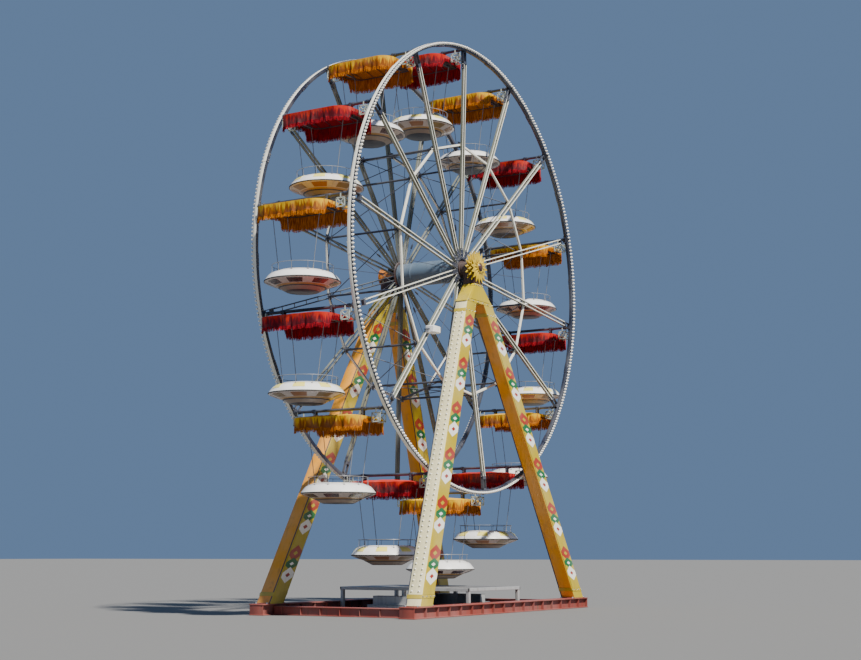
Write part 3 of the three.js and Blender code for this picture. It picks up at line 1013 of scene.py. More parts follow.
def bolts(places: Array, across: Array, along: Array, radius: float, height: float,
          finish: int) -> Surface:
    """Hexagon heads with a chamfer, one at each place, facing along across x along.

    Args:
        places: Where each one stands.
        across: A direction in its foot, one for all or for each.
        along: A second direction in its foot, in the same way.
        radius: Its radius.
        height: How far it stands out.
        finish: The finish number.

    Returns:
        All the heads.
    """
    head = np.array([[0, -0.002], [radius, -0.002], [radius, height * 0.8], [radius * 0.85, height],
                     [0, height]])
    return turned(head, 6, finish=finish).placed(frames(places, across, along))


def washers(places: Array, across: Array, along: Array, radius: float, height: float,
            finish: int) -> Surface:
    """Round plates with a chamfered edge, one at each place, facing along across x along.

    Args:
        places: Where each one stands.
        across: A direction in its foot, one for all or for each.
        along: A second direction in its foot, in the same way.
        radius: Its radius.
        height: How far it stands out.
        finish: The finish number.

    Returns:
        All the plates.
    """
    plate = np.array([[0, 0], [radius, 0], [radius, height * 0.6], [radius - height * 0.4, height],
                      [0, height]])
    return turned(plate, 16, finish=finish).placed(frames(places, across, along))


# Wheel


@dataclass
class Wheel:
    """Everything that turns as one body: rims, spokes, inner rings, cross bars, stays and the drum."""

    layout: Layout
    finishes: Finishes
    rim_depth: float = 0.12
    rim_sides: int = 168
    lamps_per_bay: int = 27
    lamp_radius: float = 0.036
    lamp_height: float = 0.09
    lamp_offset: float = 0.015
    rail: float = 0.04
    rail_depth: float = 0.08
    rail_slimness: float = 0.75
    rail_track: float = 0.11
    tie_from: float = 0.95
    tie_to: float = 5.7
    tie_pitch: float = 0.52
    fork_offset: float = 0.075
    sleeve_reach: float = 0.16
    drum_reach: float = 1.0
    root_radius: float = 0.36
    root_y: float = 1.045
    tip_radius: float = 6.1
    tip_y: float = 1.47
    drum_radius: float = 0.36
    flange_radius: float = 0.43
    flange_y: float = 1.06
    shaft_radius: float = 0.12
    shaft_end: float = 1.56
    ring_bar: float = 0.06
    floodlight_spoke: int = 9

    def __post_init__(self) -> None:
        """Reads the rims' and the inner rings' places from the frame."""
        bar_low, bar_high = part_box("cross_bar_01")
        centre = (np.array(bar_low) + np.array(bar_high)) / 2
        self.ring_radius = float(np.linalg.norm(centre - self.layout.hub))
        self.bar_reach = bar_high.y
        ring_low, ring_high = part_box("inner_ring_far")
        self.ring_y = (ring_low.y + ring_high.y) / 2
        rim_low, rim_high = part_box("rim_far")
        self.rim_y = (rim_low.y + rim_high.y) / 2
        self.rim_width = rim_high.y - rim_low.y

    def build(self) -> None:
        """Builds every piece of the wheel."""
        for side in Side:
            self.rim(side)
            self.spokes(side)
            self.inner_ring(side)
        self.cross_bars()
        self.stays()
        self.drum()

    def spoke_y(self, radius: Number) -> Number:
        """How far the spokes stand from the middle plane at a radius."""
        share = (radius - self.root_radius) / (self.tip_radius - self.root_radius)
        return self.root_y + (self.tip_y - self.root_y) * share

    def rim(self, side: Side) -> None:
        """A box section bent to a ring, with lamps, bolted sleeves, pins and pivot bearings."""
        layout, radius = self.layout, self.layout.radius
        section = soft_rectangle(self.rim_width, self.rim_depth, 0.012)
        tones = outer_finish(section, 0, 1)
        ring = np.vstack([section, section[:1]])[:, ::-1] + [radius, side.value * self.rim_y]
        parts = [turned(ring, self.rim_sides, ALONG_AXLE, tones).moved(layout.hub)]

        count = self.lamps_per_bay * len(layout.angles)
        angle = layout.angles[0] + (np.arange(count) + 0.5) * 2 * math.pi / count
        face = side.value * (self.rim_y + self.rim_width / 2)
        back = side.value * (self.rim_y - self.rim_width / 2)
        parts.append(lamp_caps(layout.at(radius + self.lamp_offset, angle, face),
                               *layout.facing(side, angle), self.lamp_radius, self.lamp_height, 1, 2))

        middle = layout.angles + layout.bay / 2
        sleeve = soft_rectangle(self.rim_width + 0.014, self.rim_depth + 0.014, 0.014)
        reach = self.sleeve_reach / radius
        parts.append(struts(layout.at(radius, middle - reach, side.value * self.rim_y),
                            layout.at(radius, middle + reach, side.value * self.rim_y),
                            sleeve, layout.outward(middle), outer_finish(sleeve, 0, 1)))
        spread = (middle[:, None] + np.array([-0.125, -0.06, 0.06, 0.125]) / radius).ravel()
        for level, looks in ((face, side), (back, side.other)):
            skin = level + looks.value * 0.007
            parts.append(layout.bolts(looks, radius - 0.034, spread, skin, 0.014, 0.012, 3))
        parts += self.pivot_bearings(side, face, back)
        piece(f"rim_{side.word}_dressed", parts,
              self.finishes.pick("cream_enamel", "dark_enamel", "lamp_cap", "bolt_zinc"), "wheel",
              "wheel_paint", f"rim_{side.word}")

    def pivot_bearings(self, side: Side, face: float, back: float) -> list[Surface]:
        """Pin ends on the rim's outer face, and a base plate with a bearing ring inside, at each cabin."""
        layout, radius = self.layout, self.layout.radius
        angle = layout.angles
        pin = np.array([[0, 0], [0.024, 0], [0.024, 0.03], [0.018, 0.034], [0.018, 0.05], [0.014, 0.055],
                        [0, 0.055]])
        pins = turned(pin, 10, finish=1).placed(
            frames(layout.at(radius, angle, face), *layout.facing(side, angle)))
        housing = np.array([[0.048, 0], [0.08, 0], [0.08, 0.035], [0.07, 0.05], [0.048, 0.05], [0.048, 0]])
        rings = turned(housing, 16, finish=1).placed(
            frames(layout.at(radius, angle, back), *layout.facing(side.other, angle)))
        reach = 0.14 / radius
        plate = soft_rectangle(0.014, self.rim_depth - 0.01, 0.004, 1)
        level = back + side.other.value * 0.007
        plates = struts(layout.at(radius, angle - reach, level), layout.at(radius, angle + reach, level),
                        plate, layout.outward(angle), 1)
        ends = (angle[:, None] + np.array([-0.115, 0.115]) / radius).ravel()
        skin = level + side.other.value * 0.007
        heads = layout.bolts(side.other, radius, ends, skin, 0.016, 0.014, 3)
        return [pins, rings, plates, heads]

    def spokes(self, side: Side) -> None:
        """Fourteen twin-rail spokes with ties, forks and lugs, the hub flange and the shaft end."""
        layout = self.layout
        angle, out = layout.angles, side.value
        around, parts = layout.around(angle), []
        rail = soft_rectangle(self.rail * self.rail_slimness, self.rail_depth, 0.005, 1)
        # Painted shade: the rails' side faces take the dark olive; outward faces are cream, cabin-side faces
        # dark.
        tones = np.where(outer_finish(-rail, 1, 0) == 1, 1, outer_finish(rail, 0, 6))
        for offset in (-self.rail_track / 2, self.rail_track / 2):
            shift = around * offset
            shift += around * math.copysign(self.rail * (1 - self.rail_slimness) / 2, offset)
            parts.append(struts(layout.at(self.root_radius, angle, out * self.root_y) + shift,
                                layout.at(self.tip_radius, angle, out * self.tip_y) + shift,
                                rail, out * ALONG_AXLE, tones))
        radii = np.arange(self.tie_from, self.tie_to, self.tie_pitch)
        many = np.repeat(angle, len(radii))
        steps = np.tile(radii, len(angle))
        middle_line = layout.at(steps, many, out * self.spoke_y(steps))
        half = layout.around(many) * self.rail_track / 2
        tie = soft_rectangle(0.028, 0.014, 0.003, 1)
        # The ties take the same painted shade.
        parts.append(struts(middle_line - half, middle_line + half, tie, out * ALONG_AXLE, 6))
        parts += self.forks(side)
        parts += self.lugs(side)
        parts += self.flange(side)
        if side is Side.NEAR:
            parts.append(self.floodlight())
        piece(f"spokes_{side.word}_dressed", parts,
              self.finishes.pick("cream_enamel", "dark_enamel", "bolt_zinc", "bearing_enamel",
                                 "tub_white", "lamp_cap", "spoke_side_shade"),
              "wheel", "wheel_paint", f"spokes_{side.word}")

    def forks(self, side: Side) -> list[Surface]:
        """Two dark bolted plates and two collars that join each spoke to the rim."""
        layout, angle, out = self.layout, self.layout.angles, side.value
        around = layout.around(angle)
        rim_inside = layout.radius - self.rim_depth / 2
        parts = []
        plate = soft_rectangle(0.014, 0.088, 0.004, 1)
        for offset in (-self.fork_offset, self.fork_offset):
            shift = around * offset
            parts.append(struts(layout.at(self.tip_radius - 0.2, angle, out * self.spoke_y(5.9)) + shift,
                                layout.at(rim_inside, angle, out * self.spoke_y(6.07)) + shift,
                                plate, out * ALONG_AXLE, 1))
            places = np.concatenate([layout.at(r, angle, out * self.spoke_y(r)) for r in (5.94, 6.04)])
            facing = np.tile(around * math.copysign(1, offset), (2, 1))
            parts.append(bolts(places + facing * 0.082, out * ALONG_AXLE, np.cross(facing, out * ALONG_AXLE),
                               0.013, 0.012, 2))
        collar = soft_rectangle(0.164, 0.09, 0.008, 1)
        middle = self.spoke_y(6.07)
        for low, high in ((self.tip_radius - 0.06, self.tip_radius + 0.03), (rim_inside - 0.05, rim_inside)):
            parts.append(struts(layout.at(low, angle, out * middle), layout.at(high, angle, out * middle),
                                collar, out * ALONG_AXLE, 1))
        return parts

    def lugs(self, side: Side) -> list[Surface]:
        """Bolted lugs that hold the foot of each spoke on the hub flange."""
        layout, angle, out = self.layout, self.layout.angles, side.value
        parts = []
        plate = soft_rectangle(0.15, 0.016, 0.005, 1)
        level = out * (self.spoke_y(0.45) + self.rail_depth / 2 + 0.006)
        parts.append(struts(layout.at(0.3, angle, level), layout.at(0.62, angle, level), plate,
                            out * ALONG_AXLE, 1))
        for offset in (-self.rail_track / 2, self.rail_track / 2):
            for radius in (0.36, 0.47, 0.58):
                parts.append(layout.bolts(side, radius, angle, level + out * 0.008, 0.015, 0.016, 2, offset))
        return parts

    def flange(self, side: Side) -> list[Surface]:
        """The hub flange with its raised boss and bolts, and the shaft that runs into the bearing."""
        out, hub = side.value, self.layout.hub
        inner, radius, face = self.drum_reach, self.flange_radius, self.flange_y
        profile = np.array([[0, inner], [radius - 0.01, inner], [radius, inner + 0.01],
                            [radius, face - 0.01], [radius - 0.01, face], [0.27, face],
                            [0.25, face + 0.012], [0.0, face + 0.012]])
        radius, end = self.shaft_radius, self.shaft_end
        shaft = np.array([[0, inner], [radius, inner], [radius, end - 0.01], [radius - 0.01, end], [0, end]])
        disc = turned(profile * [1, out], 56, ALONG_AXLE, 3).moved(hub)
        stub = turned(shaft * [1, out], 32, ALONG_AXLE, 2).moved(hub)
        angle = self.layout.angles + self.layout.bay / 2
        ring = self.layout.bolts(side, 0.39, angle, out * face, 0.018, 0.02, 2)
        return [disc, stub, ring]

    def floodlight(self) -> Surface:
        """A white lamp box on one near spoke, with its bracket and its glass towards the ground."""
        angle = self.layout.angles[self.floodlight_spoke]
        place = self.layout.at(3.05, angle, -self.spoke_y(3.05) - 0.16)
        body = block((-0.2, -0.13, -0.1), (0.2, 0.13, 0.1), 0.02, 4)
        glass = block((-0.17, -0.138, -0.075), (0.17, -0.12, 0.075), 0.004, 5)
        arm = soft_rectangle(0.05, 0.02, 0.004, 1)
        ends = np.array([[-0.205, 0, 0], [0.205, 0, 0]])
        bracket = struts(ends + [0, 0.14, 0], ends + [0, -0.02, 0], arm, UPWARD, 1)
        bridge = struts(np.array([-0.21, 0.14, 0]), np.array([0.21, 0.14, 0]), arm, UPWARD, 1)
        return Surface.join(body, glass, bracket, bridge).moved(place)

    def inner_ring(self, side: Side) -> None:
        """Fourteen straight bars round the spokes, with a bolted gusset at each node."""
        layout, out = self.layout, side.value
        angle = layout.angles
        nodes = layout.at(self.ring_radius, angle, out * self.ring_y)
        bar = soft_rectangle(self.ring_bar, self.ring_bar, 0.006, 1)
        parts = [struts(nodes, np.roll(nodes, -1, axis=0), bar, out * ALONG_AXLE, outer_finish(-bar, 1, 0))]
        level = out * (self.ring_y - self.ring_bar / 2 - 0.004)
        plate = soft_rectangle(0.2, 0.012, 0.004, 1)
        parts.append(struts(layout.at(self.ring_radius - 0.09, angle, level),
                            layout.at(self.ring_radius + 0.09, angle, level), plate, out * ALONG_AXLE, 1))
        for across in (-0.078, 0.078):
            for radial in (-0.06, 0.06):
                parts.append(layout.bolts(side.other, self.ring_radius + radial, angle, level - out * 0.006,
                                          0.013, 0.012, 2, across))
        piece(f"inner_ring_{side.word}_dressed", parts,
              self.finishes.pick("cream_enamel", "dark_enamel", "bolt_zinc"), "wheel", "wheel_paint",
              f"inner_ring_{side.word}")

    def cross_bars(self) -> None:
        """Fourteen tubes between the inner rings, with a flange and a sleeve at both ends."""
        layout, angle = self.layout, self.layout.angles
        reach = self.bar_reach
        tube = circle(self.ring_bar / 2, 16)
        parts = [struts(layout.at(self.ring_radius, angle, -reach), layout.at(self.ring_radius, angle, reach),
                        tube, LEANING)]
        for side in Side:
            foot = layout.at(self.ring_radius, angle, side.value * reach)
            parts.append(washers(foot, *layout.facing(side.other, angle), 0.062, 0.014, 0))
            sleeve = layout.at(self.ring_radius, angle, side.value * (reach - 0.16))
            parts.append(struts(foot, sleeve, circle(self.ring_bar / 2 + 0.008, 16),
                                LEANING))
        names = [f"cross_bar_{k + 1:02d}" for k in range(len(angle))]
        piece("cross_bars_dressed", parts, self.finishes.pick("dark_enamel"), "wheel", "dark_steel", *names)

    def stays(self) -> None:
        """Crossed rods between the inner rings, and thin stays with turnbuckles round both hubs."""
        layout, angle = self.layout, self.layout.angles
        inset = self.bar_reach - 0.02
        near = layout.at(self.ring_radius - 0.04, angle, -inset)
        far = layout.at(self.ring_radius - 0.04, angle, inset)
        rod = circle(0.012, 6)
        parts = [struts(start, np.roll(end, -1, axis=0), rod, LEANING)
                 for start, end in ((far, near), (near, far))]
        half = angle + layout.bay / 2
        bar_middle = self.ring_radius * math.cos(layout.bay / 2)
        buckle = np.array([[0, -0.1], [0.012, -0.1], [0.026, -0.07], [0.026, 0.07], [0.012, 0.1], [0, 0.1]])
        for side in Side:
            start = layout.at(self.flange_radius - 0.03, half, side.value * (self.flange_y - 0.03))
            end = layout.at(bar_middle, half, side.value * self.ring_y)
            parts.append(struts(start, end, circle(0.007, 6), side.value * ALONG_AXLE, 0))
            along = unit(end - start)
            turn = np.cross(along, ALONG_AXLE)
            place = start + along * (0.62 + 0.22 * (np.arange(len(half)) % 2))[:, None]
            parts.append(turned(buckle, 8).placed(frames(place, turn, np.cross(along, turn))))
        piece("wheel_stays", parts, self.finishes.pick("dark_enamel"), "wheel", "dark_steel")

    def drum(self) -> None:
        """The axle drum, with rolled end collars, two bands and a row of rivets round each."""
        radius, reach = self.drum_radius, self.drum_reach
        half = np.array([[0, reach], [radius - 0.012, reach], [radius, reach - 0.012], [radius, reach - 0.05],
                         [radius - 0.01, reach - 0.055], [radius - 0.01, 0.56], [radius, 0.555],
                         [radius, 0.505], [radius - 0.01, 0.5], [radius - 0.01, 0.0]])
        profile = np.vstack([half, half[-2::-1] * [1, -1]])
        parts = [turned(profile, 72, ALONG_AXLE, 0).moved(self.layout.hub)]
        angle = turns(28)
        for level in (-0.975, -0.53, 0.53, 0.975):
            parts.append(bolts(self.layout.at(radius - 0.004, angle, level), ALONG_AXLE,
                               self.layout.around(angle), 0.011, 0.012, 1))
        piece("axle_drum_dressed", parts, self.finishes.pick("axle_enamel", "bolt_zinc"),
              "wheel", "axle_paint", "axle_drum")


# Stand


@dataclass
class Frustum:
    """A box that tapers from its foot to its top; both are (x0, x1, y0, y1, z)."""

    side: Side
    foot: Array
    top: Array

    @classmethod
    def of_node(cls, node: bpy.types.Object, side: Side) -> Frustum:
        """The frustum of a packed leg, from the corners of its lower and upper end.

        Args:
            node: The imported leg.
            side: The side it stands on.

        Returns:
            The frustum.
        """
        points = np.array([vertex.co for vertex in node.data.vertices])
        level = points[:, 2].mean()
        ends = []
        for end in (points[points[:, 2] < level], points[points[:, 2] > level]):
            low, high = end.min(0), end.max(0)
            ends.append(np.array([low[0], high[0], low[1], high[1], end[:, 2].mean()]))
        return cls(side, *ends)

    @property
    def length(self) -> float:
        """The length of its middle line."""
        return float(np.linalg.norm(self.at(1.0, 0.0, 0.0) - self.at(0.0, 0.0, 0.0)))

    def edges(self, share: Number) -> Array:
        """The outline (x0, x1, y0, y1, z) at a share of the way from the foot to the top."""
        return self.foot + (self.top - self.foot) * np.asarray(share, float)[..., None]

    def at(self, share: Number, across: Number, depth: Number) -> Array:
        """Points at a share of the height, across from -1 to 1 in X, and depth from -1 to 1 away
        from the wheel."""
        edge = self.edges(share)
        x = (edge[..., 0] + edge[..., 1]) / 2 + across * (edge[..., 1] - edge[..., 0]) / 2
        half = (edge[..., 3] - edge[..., 2]) / 2
        y = (edge[..., 2] + edge[..., 3]) / 2 + self.side.value * depth * half
        return np.stack(np.broadcast_arrays(x, y, edge[..., 4]), -1)

    def shell(self, rows: int, section: Array, finish: Array) -> Surface:
        """Its four walls with rounded edges, and flat covers at both ends.

        Args:
            rows: How many rings of points.
            section: Its outline, from -1 to 1 both ways.
            finish: A finish number for each edge of the outline.

        Returns:
            The closed box.
        """
        ring = np.vstack([section, section[:1]])
        share = np.linspace(0, 1, rows)[:, None]
        points = self.at(share, ring[None, :, 0], ring[None, :, 1])
        return Surface.tube(points, None, np.tile(finish, rows - 1), int(finish[0]))

    def sleeve(self, share: float, reach: float, swell: float, section: Array, finish: int) -> Surface:
        """A band round the box, that stands out by a share of its half width.

        Args:
            share: Where it is, from 0 at the foot to 1 at the top.
            reach: Half its height.
            swell: The share it stands out by.
            section: The box's outline.
            finish: The finish number.

        Returns:
            The band.
        """
        ring = np.vstack([section, section[:1]])
        span = reach / self.length
        levels = np.array([share - span, share - span, share + span, share + span])[:, None]
        scale = np.array([1, 1 + swell, 1 + swell, 1])[:, None]
        points = self.at(levels, ring[None, :, 0] * scale, ring[None, :, 1] * scale)
        return Surface.grid(points, finish=finish)


@dataclass
class Stand:
    """Both A-frames with their heads, the sunburst, the base and the boarding deck."""

    layout: Layout
    finishes: Finishes
    nodes: dict[str, bpy.types.Object]
    board_half: float = 0.86
    board_raise: float = 0.012
    lamp_pitch: float = 0.15
    lamp_radius: float = 0.026
    lamp_height: float = 0.034
    collar_shares: tuple[float, ...] = (0.03, 0.965)
    head_drop: float = 0.49
    head_top_half: float = 0.215
    pedestal_half: float = 0.21
    bearing_radius: float = 0.25
    bearing_bore: float = 0.1215
    bearing_inner: float = 1.075
    bearing_outer: float = 1.64
    cap_radius: float = 0.28
    cap_depth: float = 0.08
    sill_width: float = 0.465
    step_going: float = 0.3
    step_half: float = 0.8
    sun_radius: float = 0.49
    sun_valley: float = 0.32
    sun_rays: int = 16
    sun_gap: float = 0.1
    boss_radius: float = 0.16

    def __post_init__(self) -> None:
        """Finds the four legs."""
        self.legs = {(side, hand): Frustum.of_node(self.nodes[f"{side.word}_leg_{hand.word}"], side)
                     for side in Side for hand in Hand}

    def build(self) -> None:
        """Builds every piece of the stand."""
        for side in Side:
            for hand in Hand:
                self.leg(side, hand)
            self.head(side)
        self.sunburst()
        self.base()
        self.deck()

    @staticmethod
    def face_axes(side: Side) -> tuple[Array, Array]:
        """Two directions in an upright face whose cross product points to a side."""
        return (RIGHTWARD, UPWARD) if side is Side.NEAR else (UPWARD, RIGHTWARD)

    def leg(self, side: Side, hand: Hand) -> None:
        """A tapered box leg with a painted board, lamps up its outer side, bands and edge strips."""
        leg = self.legs[side, hand]
        section = soft_rectangle(2, 2, 0.09)
        middle = (section + np.roll(section, -1, axis=0)) / 2
        # Painted shade: inner sides, the far legs' outer sides and the near legs' wheel-side faces take the
        # orange shade copy of the leg yellow; the near legs' outer sides are cream.
        tones = np.zeros(len(section), int)
        tones[middle[:, 0] * hand.value > 0.98] = 1 if side is Side.NEAR else 2
        tones[middle[:, 0] * hand.value < -0.98] = 2
        tones[middle[:, 1] < -0.98] = 2 if side is Side.NEAR else 0
        parts = [leg.shell(24, section, tones)]
        faces = (1,) if side is Side.NEAR else (1, -1)
        parts += [self.board(leg, depth) for depth in faces]
        for share in self.collar_shares:
            parts.append(leg.sleeve(share, 0.055, 0.035, section, 0))
        parts.append(self.edge_strips(leg, hand))
        if side is Side.NEAR:
            parts.append(self.leg_lamps(leg, hand))
        parts.append(self.collar_bolts(leg, side))
        x0, x1, y0, y1, z = leg.edges(0.0)
        parts.append(block((x0 - 0.07, y0, z), (x1 + 0.07, y1, z + 0.022), 0.005, 6))
        piece(f"{side.word}_leg_{hand.word}_dressed", parts,
              self.finishes.pick("leg_yellow", "leg_cream", "leg_shade_orange", "leg_board", "dark_enamel",
                                 "lamp_cap", "base_red", "bolt_zinc"),
              "stand", "leg_paint", f"{side.word}_leg_{hand.word}")

    def board(self, leg: Frustum, depth: float) -> Surface:
        """A raised board on one face; its surface coordinates are metres across and along."""
        share = np.linspace(0.035, 0.962, 60)[:, None]
        across = np.linspace(-self.board_half, self.board_half, 9)[None]
        face = leg.at(share, across, depth)
        edge = leg.edges(share)
        u = across * (edge[..., 1] - edge[..., 0]) / 2
        uv = np.stack(np.broadcast_arrays(u, share * leg.length), -1)
        raised = leg.side.value * depth * self.board_raise
        return slab(face + [0, raised, 0], face - [0, raised, 0], uv, 3)

    def edge_strips(self, leg: Frustum, hand: Hand) -> Surface:
        """A dark strip along the back edge of both side faces."""
        strip = soft_rectangle(0.03, 0.012, 0.003, 1)
        across = np.array([-1.0, 1.0])
        return struts(leg.at(0.0, across, -0.9), leg.at(1.0, across, -0.9), strip,
                      RIGHTWARD * hand.value, 4)

    def leg_lamps(self, leg: Frustum, hand: Hand) -> Surface:
        """Two rows of lamps up the outer side of a leg."""
        count = int(leg.length * 0.92 / self.lamp_pitch)
        share = np.tile(np.linspace(0.045, 0.955, count), 2)
        depth = np.repeat([-0.45, 0.5], count)
        places = leg.at(share, float(hand.value), depth)
        along = unit(leg.at(1.0, hand.value, 0.0) - leg.at(0.0, hand.value, 0.0))
        pair = (ALONG_AXLE, along) if hand is Hand.RIGHT else (along, ALONG_AXLE)
        return lamp_caps(places, *pair, self.lamp_radius, self.lamp_height, 1, 5)

    def collar_bolts(self, leg: Frustum, side: Side) -> Surface:
        """Four bolts on the outer face of each band."""
        shares = np.repeat(self.collar_shares, 4)
        across = np.tile([-0.93, -0.31, 0.31, 0.93], len(self.collar_shares))
        return bolts(leg.at(shares, across, 1.035), *self.face_axes(side), 0.02, 0.018, 7)

    def head(self, side: Side) -> None:
        """The gusset above the legs, the pedestal on it and the bearing.

        The gusset runs in from both legs' outer edges; it has a raised plate and flanged edges.
        """
        left, right = self.legs[side, Hand.LEFT], self.legs[side, Hand.RIGHT]
        crown_z = self.layout.hub[2] - self.head_drop
        rise = (crown_z - left.foot[4]) / (left.top[4] - left.foot[4])
        foot, top = left.edges(1.0), left.edges(rise)
        foot[1] = right.edges(1.0)[1]
        top[:2] = -self.head_top_half, self.head_top_half
        box = Frustum(side, foot, top)
        section = soft_rectangle(2, 2, 0.07)
        parts = [box.shell(10, section, np.zeros(len(section), int))]
        parts += self.pedestal(top)
        for share in (0.035, 0.93):
            parts.append(box.sleeve(share, 0.035, 0.03, section, 0))
        for depth in (1, -1):
            share = np.linspace(0.12, 0.86, 12)[:, None]
            face = box.at(share, np.linspace(-0.82, 0.82, 9)[None], depth)
            raised = side.value * depth * 0.01
            parts.append(slab(face + [0, raised, 0], face - [0, raised, 0], finish=0))
        parts += self.bearing(side)
        shares = np.repeat([0.035, 0.93], 6)
        across = np.tile(np.linspace(-0.94, 0.94, 6), 2)
        parts.append(bolts(box.at(shares, across, 1.03), *self.face_axes(side), 0.02, 0.018, 2))
        piece(f"{side.word}_head_dressed", parts,
              self.finishes.pick("leg_yellow", "bearing_enamel", "bolt_zinc", "cap_enamel"), "stand",
              "leg_paint", f"{side.word}_head")

    def pedestal(self, top: Array) -> list[Surface]:
        """The block on the gusset and its two cheeks, which hold the bearing, painted near-black as painted
        shade.
        """
        half, hub_z = self.pedestal_half, self.layout.hub[2]
        low, high = top[4] - 0.02, hub_z - 0.16
        # Painted shade: the block and its cheeks are near-black for the shade under the sunburst.
        parts = [block((-half, top[2], low), (half, top[3], high), 0.008, 1)]
        for hand in Hand:
            x0, x1 = hand.span(half - 0.06, half)
            parts.append(block((x0, top[2], high - 0.02), (x1, top[3], hub_z), 0.008, 1))
        return parts

    def bearing(self, side: Side) -> list[Surface]:
        """The bearing housing with a flange at both ends; the far one is closed by a domed cap."""
        out, hub = side.value, self.layout.hub
        radius, inner, outer = self.bearing_radius, self.bearing_inner, self.bearing_outer
        bore = self.bearing_bore
        profile = np.array([[bore, inner], [radius - 0.01, inner], [radius, inner + 0.01],
                            [radius, inner + 0.045], [radius - 0.03, inner + 0.05],
                            [radius - 0.03, outer - 0.05], [radius, outer - 0.045], [radius, outer - 0.01],
                            [radius - 0.01, outer], [bore, outer], [bore, inner]])
        # Painted shade: the near housing takes the near-black paint for the shade under the sunburst; the far
        # one the orange-brown cap paint.
        tone = 1 if side is Side.NEAR else 3
        parts = [turned(profile * [1, out], 40, ALONG_AXLE, tone).moved(hub)]
        parts.append(self.layout.bolts(side.other, radius - 0.03, turns(10), out * inner, 0.014, 0.014, 2))
        if side is Side.FAR:
            rise = np.linspace(0, math.pi / 2, 7)
            dome = np.stack([(self.cap_radius - 0.06) * np.cos(rise),
                             outer + self.cap_depth * (0.45 + 0.55 * np.sin(rise))], -1)
            lip = np.array([[0, outer], [self.cap_radius, outer], [self.cap_radius, outer + 0.028],
                            [self.cap_radius - 0.012, outer + 0.036]])
            parts.append(turned(np.vstack([lip, dome]), 40, ALONG_AXLE, 3).moved(hub))
            parts.append(self.layout.bolts(side, self.cap_radius - 0.03, turns(12), outer + 0.036,
                                           0.012, 0.012, 2))
        return parts

    def rays(self, back: float, start: float, turn: float) -> Surface:
        """One layer of sixteen ridged rays.

        The outline swings between the valley and the tip radius. Each ray's ridge stands
        34 mm (1 - t) + 14 mm over the back, with t from the start radius to the tip.

        Args:
            back: The place of its back on the axle.
            start: The radius where the rays start.
            turn: How far the layer is turned, in rays.

        Returns:
            The layer, closed.
        """
        steps = 2 * self.sun_rays
        angle = np.linspace(0, 2 * math.pi, steps + 1) + turn * 2 * math.pi / self.sun_rays
        tip = np.arange(steps + 1) % 2 == 0
        reach = np.where(tip, self.sun_radius, self.sun_valley)
        share = np.linspace(0, 1, 9)[:, None]
        radius = start + (reach - start)[None] * share
        height = np.where(tip, 0.034 * (1 - share) + 0.014, 0.012)
        face, rear = self.layout.at(radius, angle, back - height), self.layout.at(radius, angle, back)
        rims = (Surface.grid(np.stack([face[row], rear[row]])) for row in (-1, 0))
        return Surface.join(Surface.grid(face), Surface.grid(rear), *rims)

    def sunburst(self) -> None:
        """A layer of rays round a domed boss, and two behind it round the bearing."""
        low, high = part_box("sunburst")
        back = high.y
        around = self.bearing_radius - 0.02
        parts = [self.rays(back, self.boss_radius - 0.03, 0.0), self.rays(back + self.sun_gap, around, 0.5),
                 self.rays(back + 2 * self.sun_gap, around, 0.0)]
        rise = np.linspace(0, math.pi / 2, 8)
        depth = back - low.y
        dome = np.stack([0.098 * np.cos(rise), -back + depth * (0.62 + 0.38 * np.sin(rise))], -1)
        edge = self.boss_radius
        rings = np.array([[0, 0], [edge, 0], [edge, 0.05], [edge - 0.012, 0.058], [edge - 0.03, 0.05],
                          [edge - 0.036, 0.05], [edge - 0.046, 0.062]]) - [0, back]
        tones = np.array([0] * 5 + [1] * 9)
        boss = np.vstack([rings, dome]) * [1, -1]
        parts.append(turned(boss, 48, ALONG_AXLE, tones).moved(self.layout.hub))
        parts.append(self.layout.bolts(Side.NEAR, 0.2, turns(self.sun_rays), back - 0.036, 0.01, 0.01, 2))
        piece("sunburst_dressed", parts,
              self.finishes.pick("sun_enamel", "sun_centre", "bolt_zinc"), "stand", "sun_paint", "sunburst")

    def base(self) -> None:
        """Two flanged sills with stiffeners and foot bolts, and two flanged ties between them."""
        low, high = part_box("base_frame")
        foot_x = float(self.legs[Side.NEAR, Hand.RIGHT].at(0.0, 0.0, 0.0)[0])
        inner, top = high.y - self.sill_width, high.z
        parts = []
        for side in Side:
            y0, y1 = side.span(inner, high.y)
            parts += [block((low.x, y0, 0.0), (high.x, y1, 0.03)),
                      block((low.x, y0, top - 0.03), (high.x, y1, top)),
                      block((low.x + 0.01, y0 + 0.09, 0.02), (high.x - 0.01, y1 - 0.09, top - 0.02))]
            for x in np.linspace(low.x + 0.02, high.x - 0.02, 18):
                parts.append(block((x - 0.008, y0 + 0.012, 0.02), (x + 0.008, y1 - 0.012, top - 0.02), 0.003))
            for x in (-foot_x, foot_x):
                places = [(x + aside, y, top) for y in (y0 + 0.05, y1 - 0.05) for aside in (-0.37, 0.37)]
                parts.append(bolts(np.array(places), RIGHTWARD, ALONG_AXLE, 0.03, 0.035, 1))
        reach = inner + 0.02
        for x in (-foot_x, foot_x):
            for half, z0, z1 in ((0.15, 0.0, 0.024), (0.15, 0.216, 0.24), (0.1, 0.02, 0.22)):
                parts.append(block((x - half, -reach, z0), (x + half, reach, z1), 0.005))
            for y in np.linspace(-inner + 0.25, inner - 0.25, 7):
                parts.append(block((x - 0.14, y - 0.007, 0.02), (x + 0.14, y + 0.007, 0.22), 0.003))
        piece("base_frame_dressed", parts,
              self.finishes.pick("base_red", "bolt_zinc"), "stand", "base_paint", "base_frame")

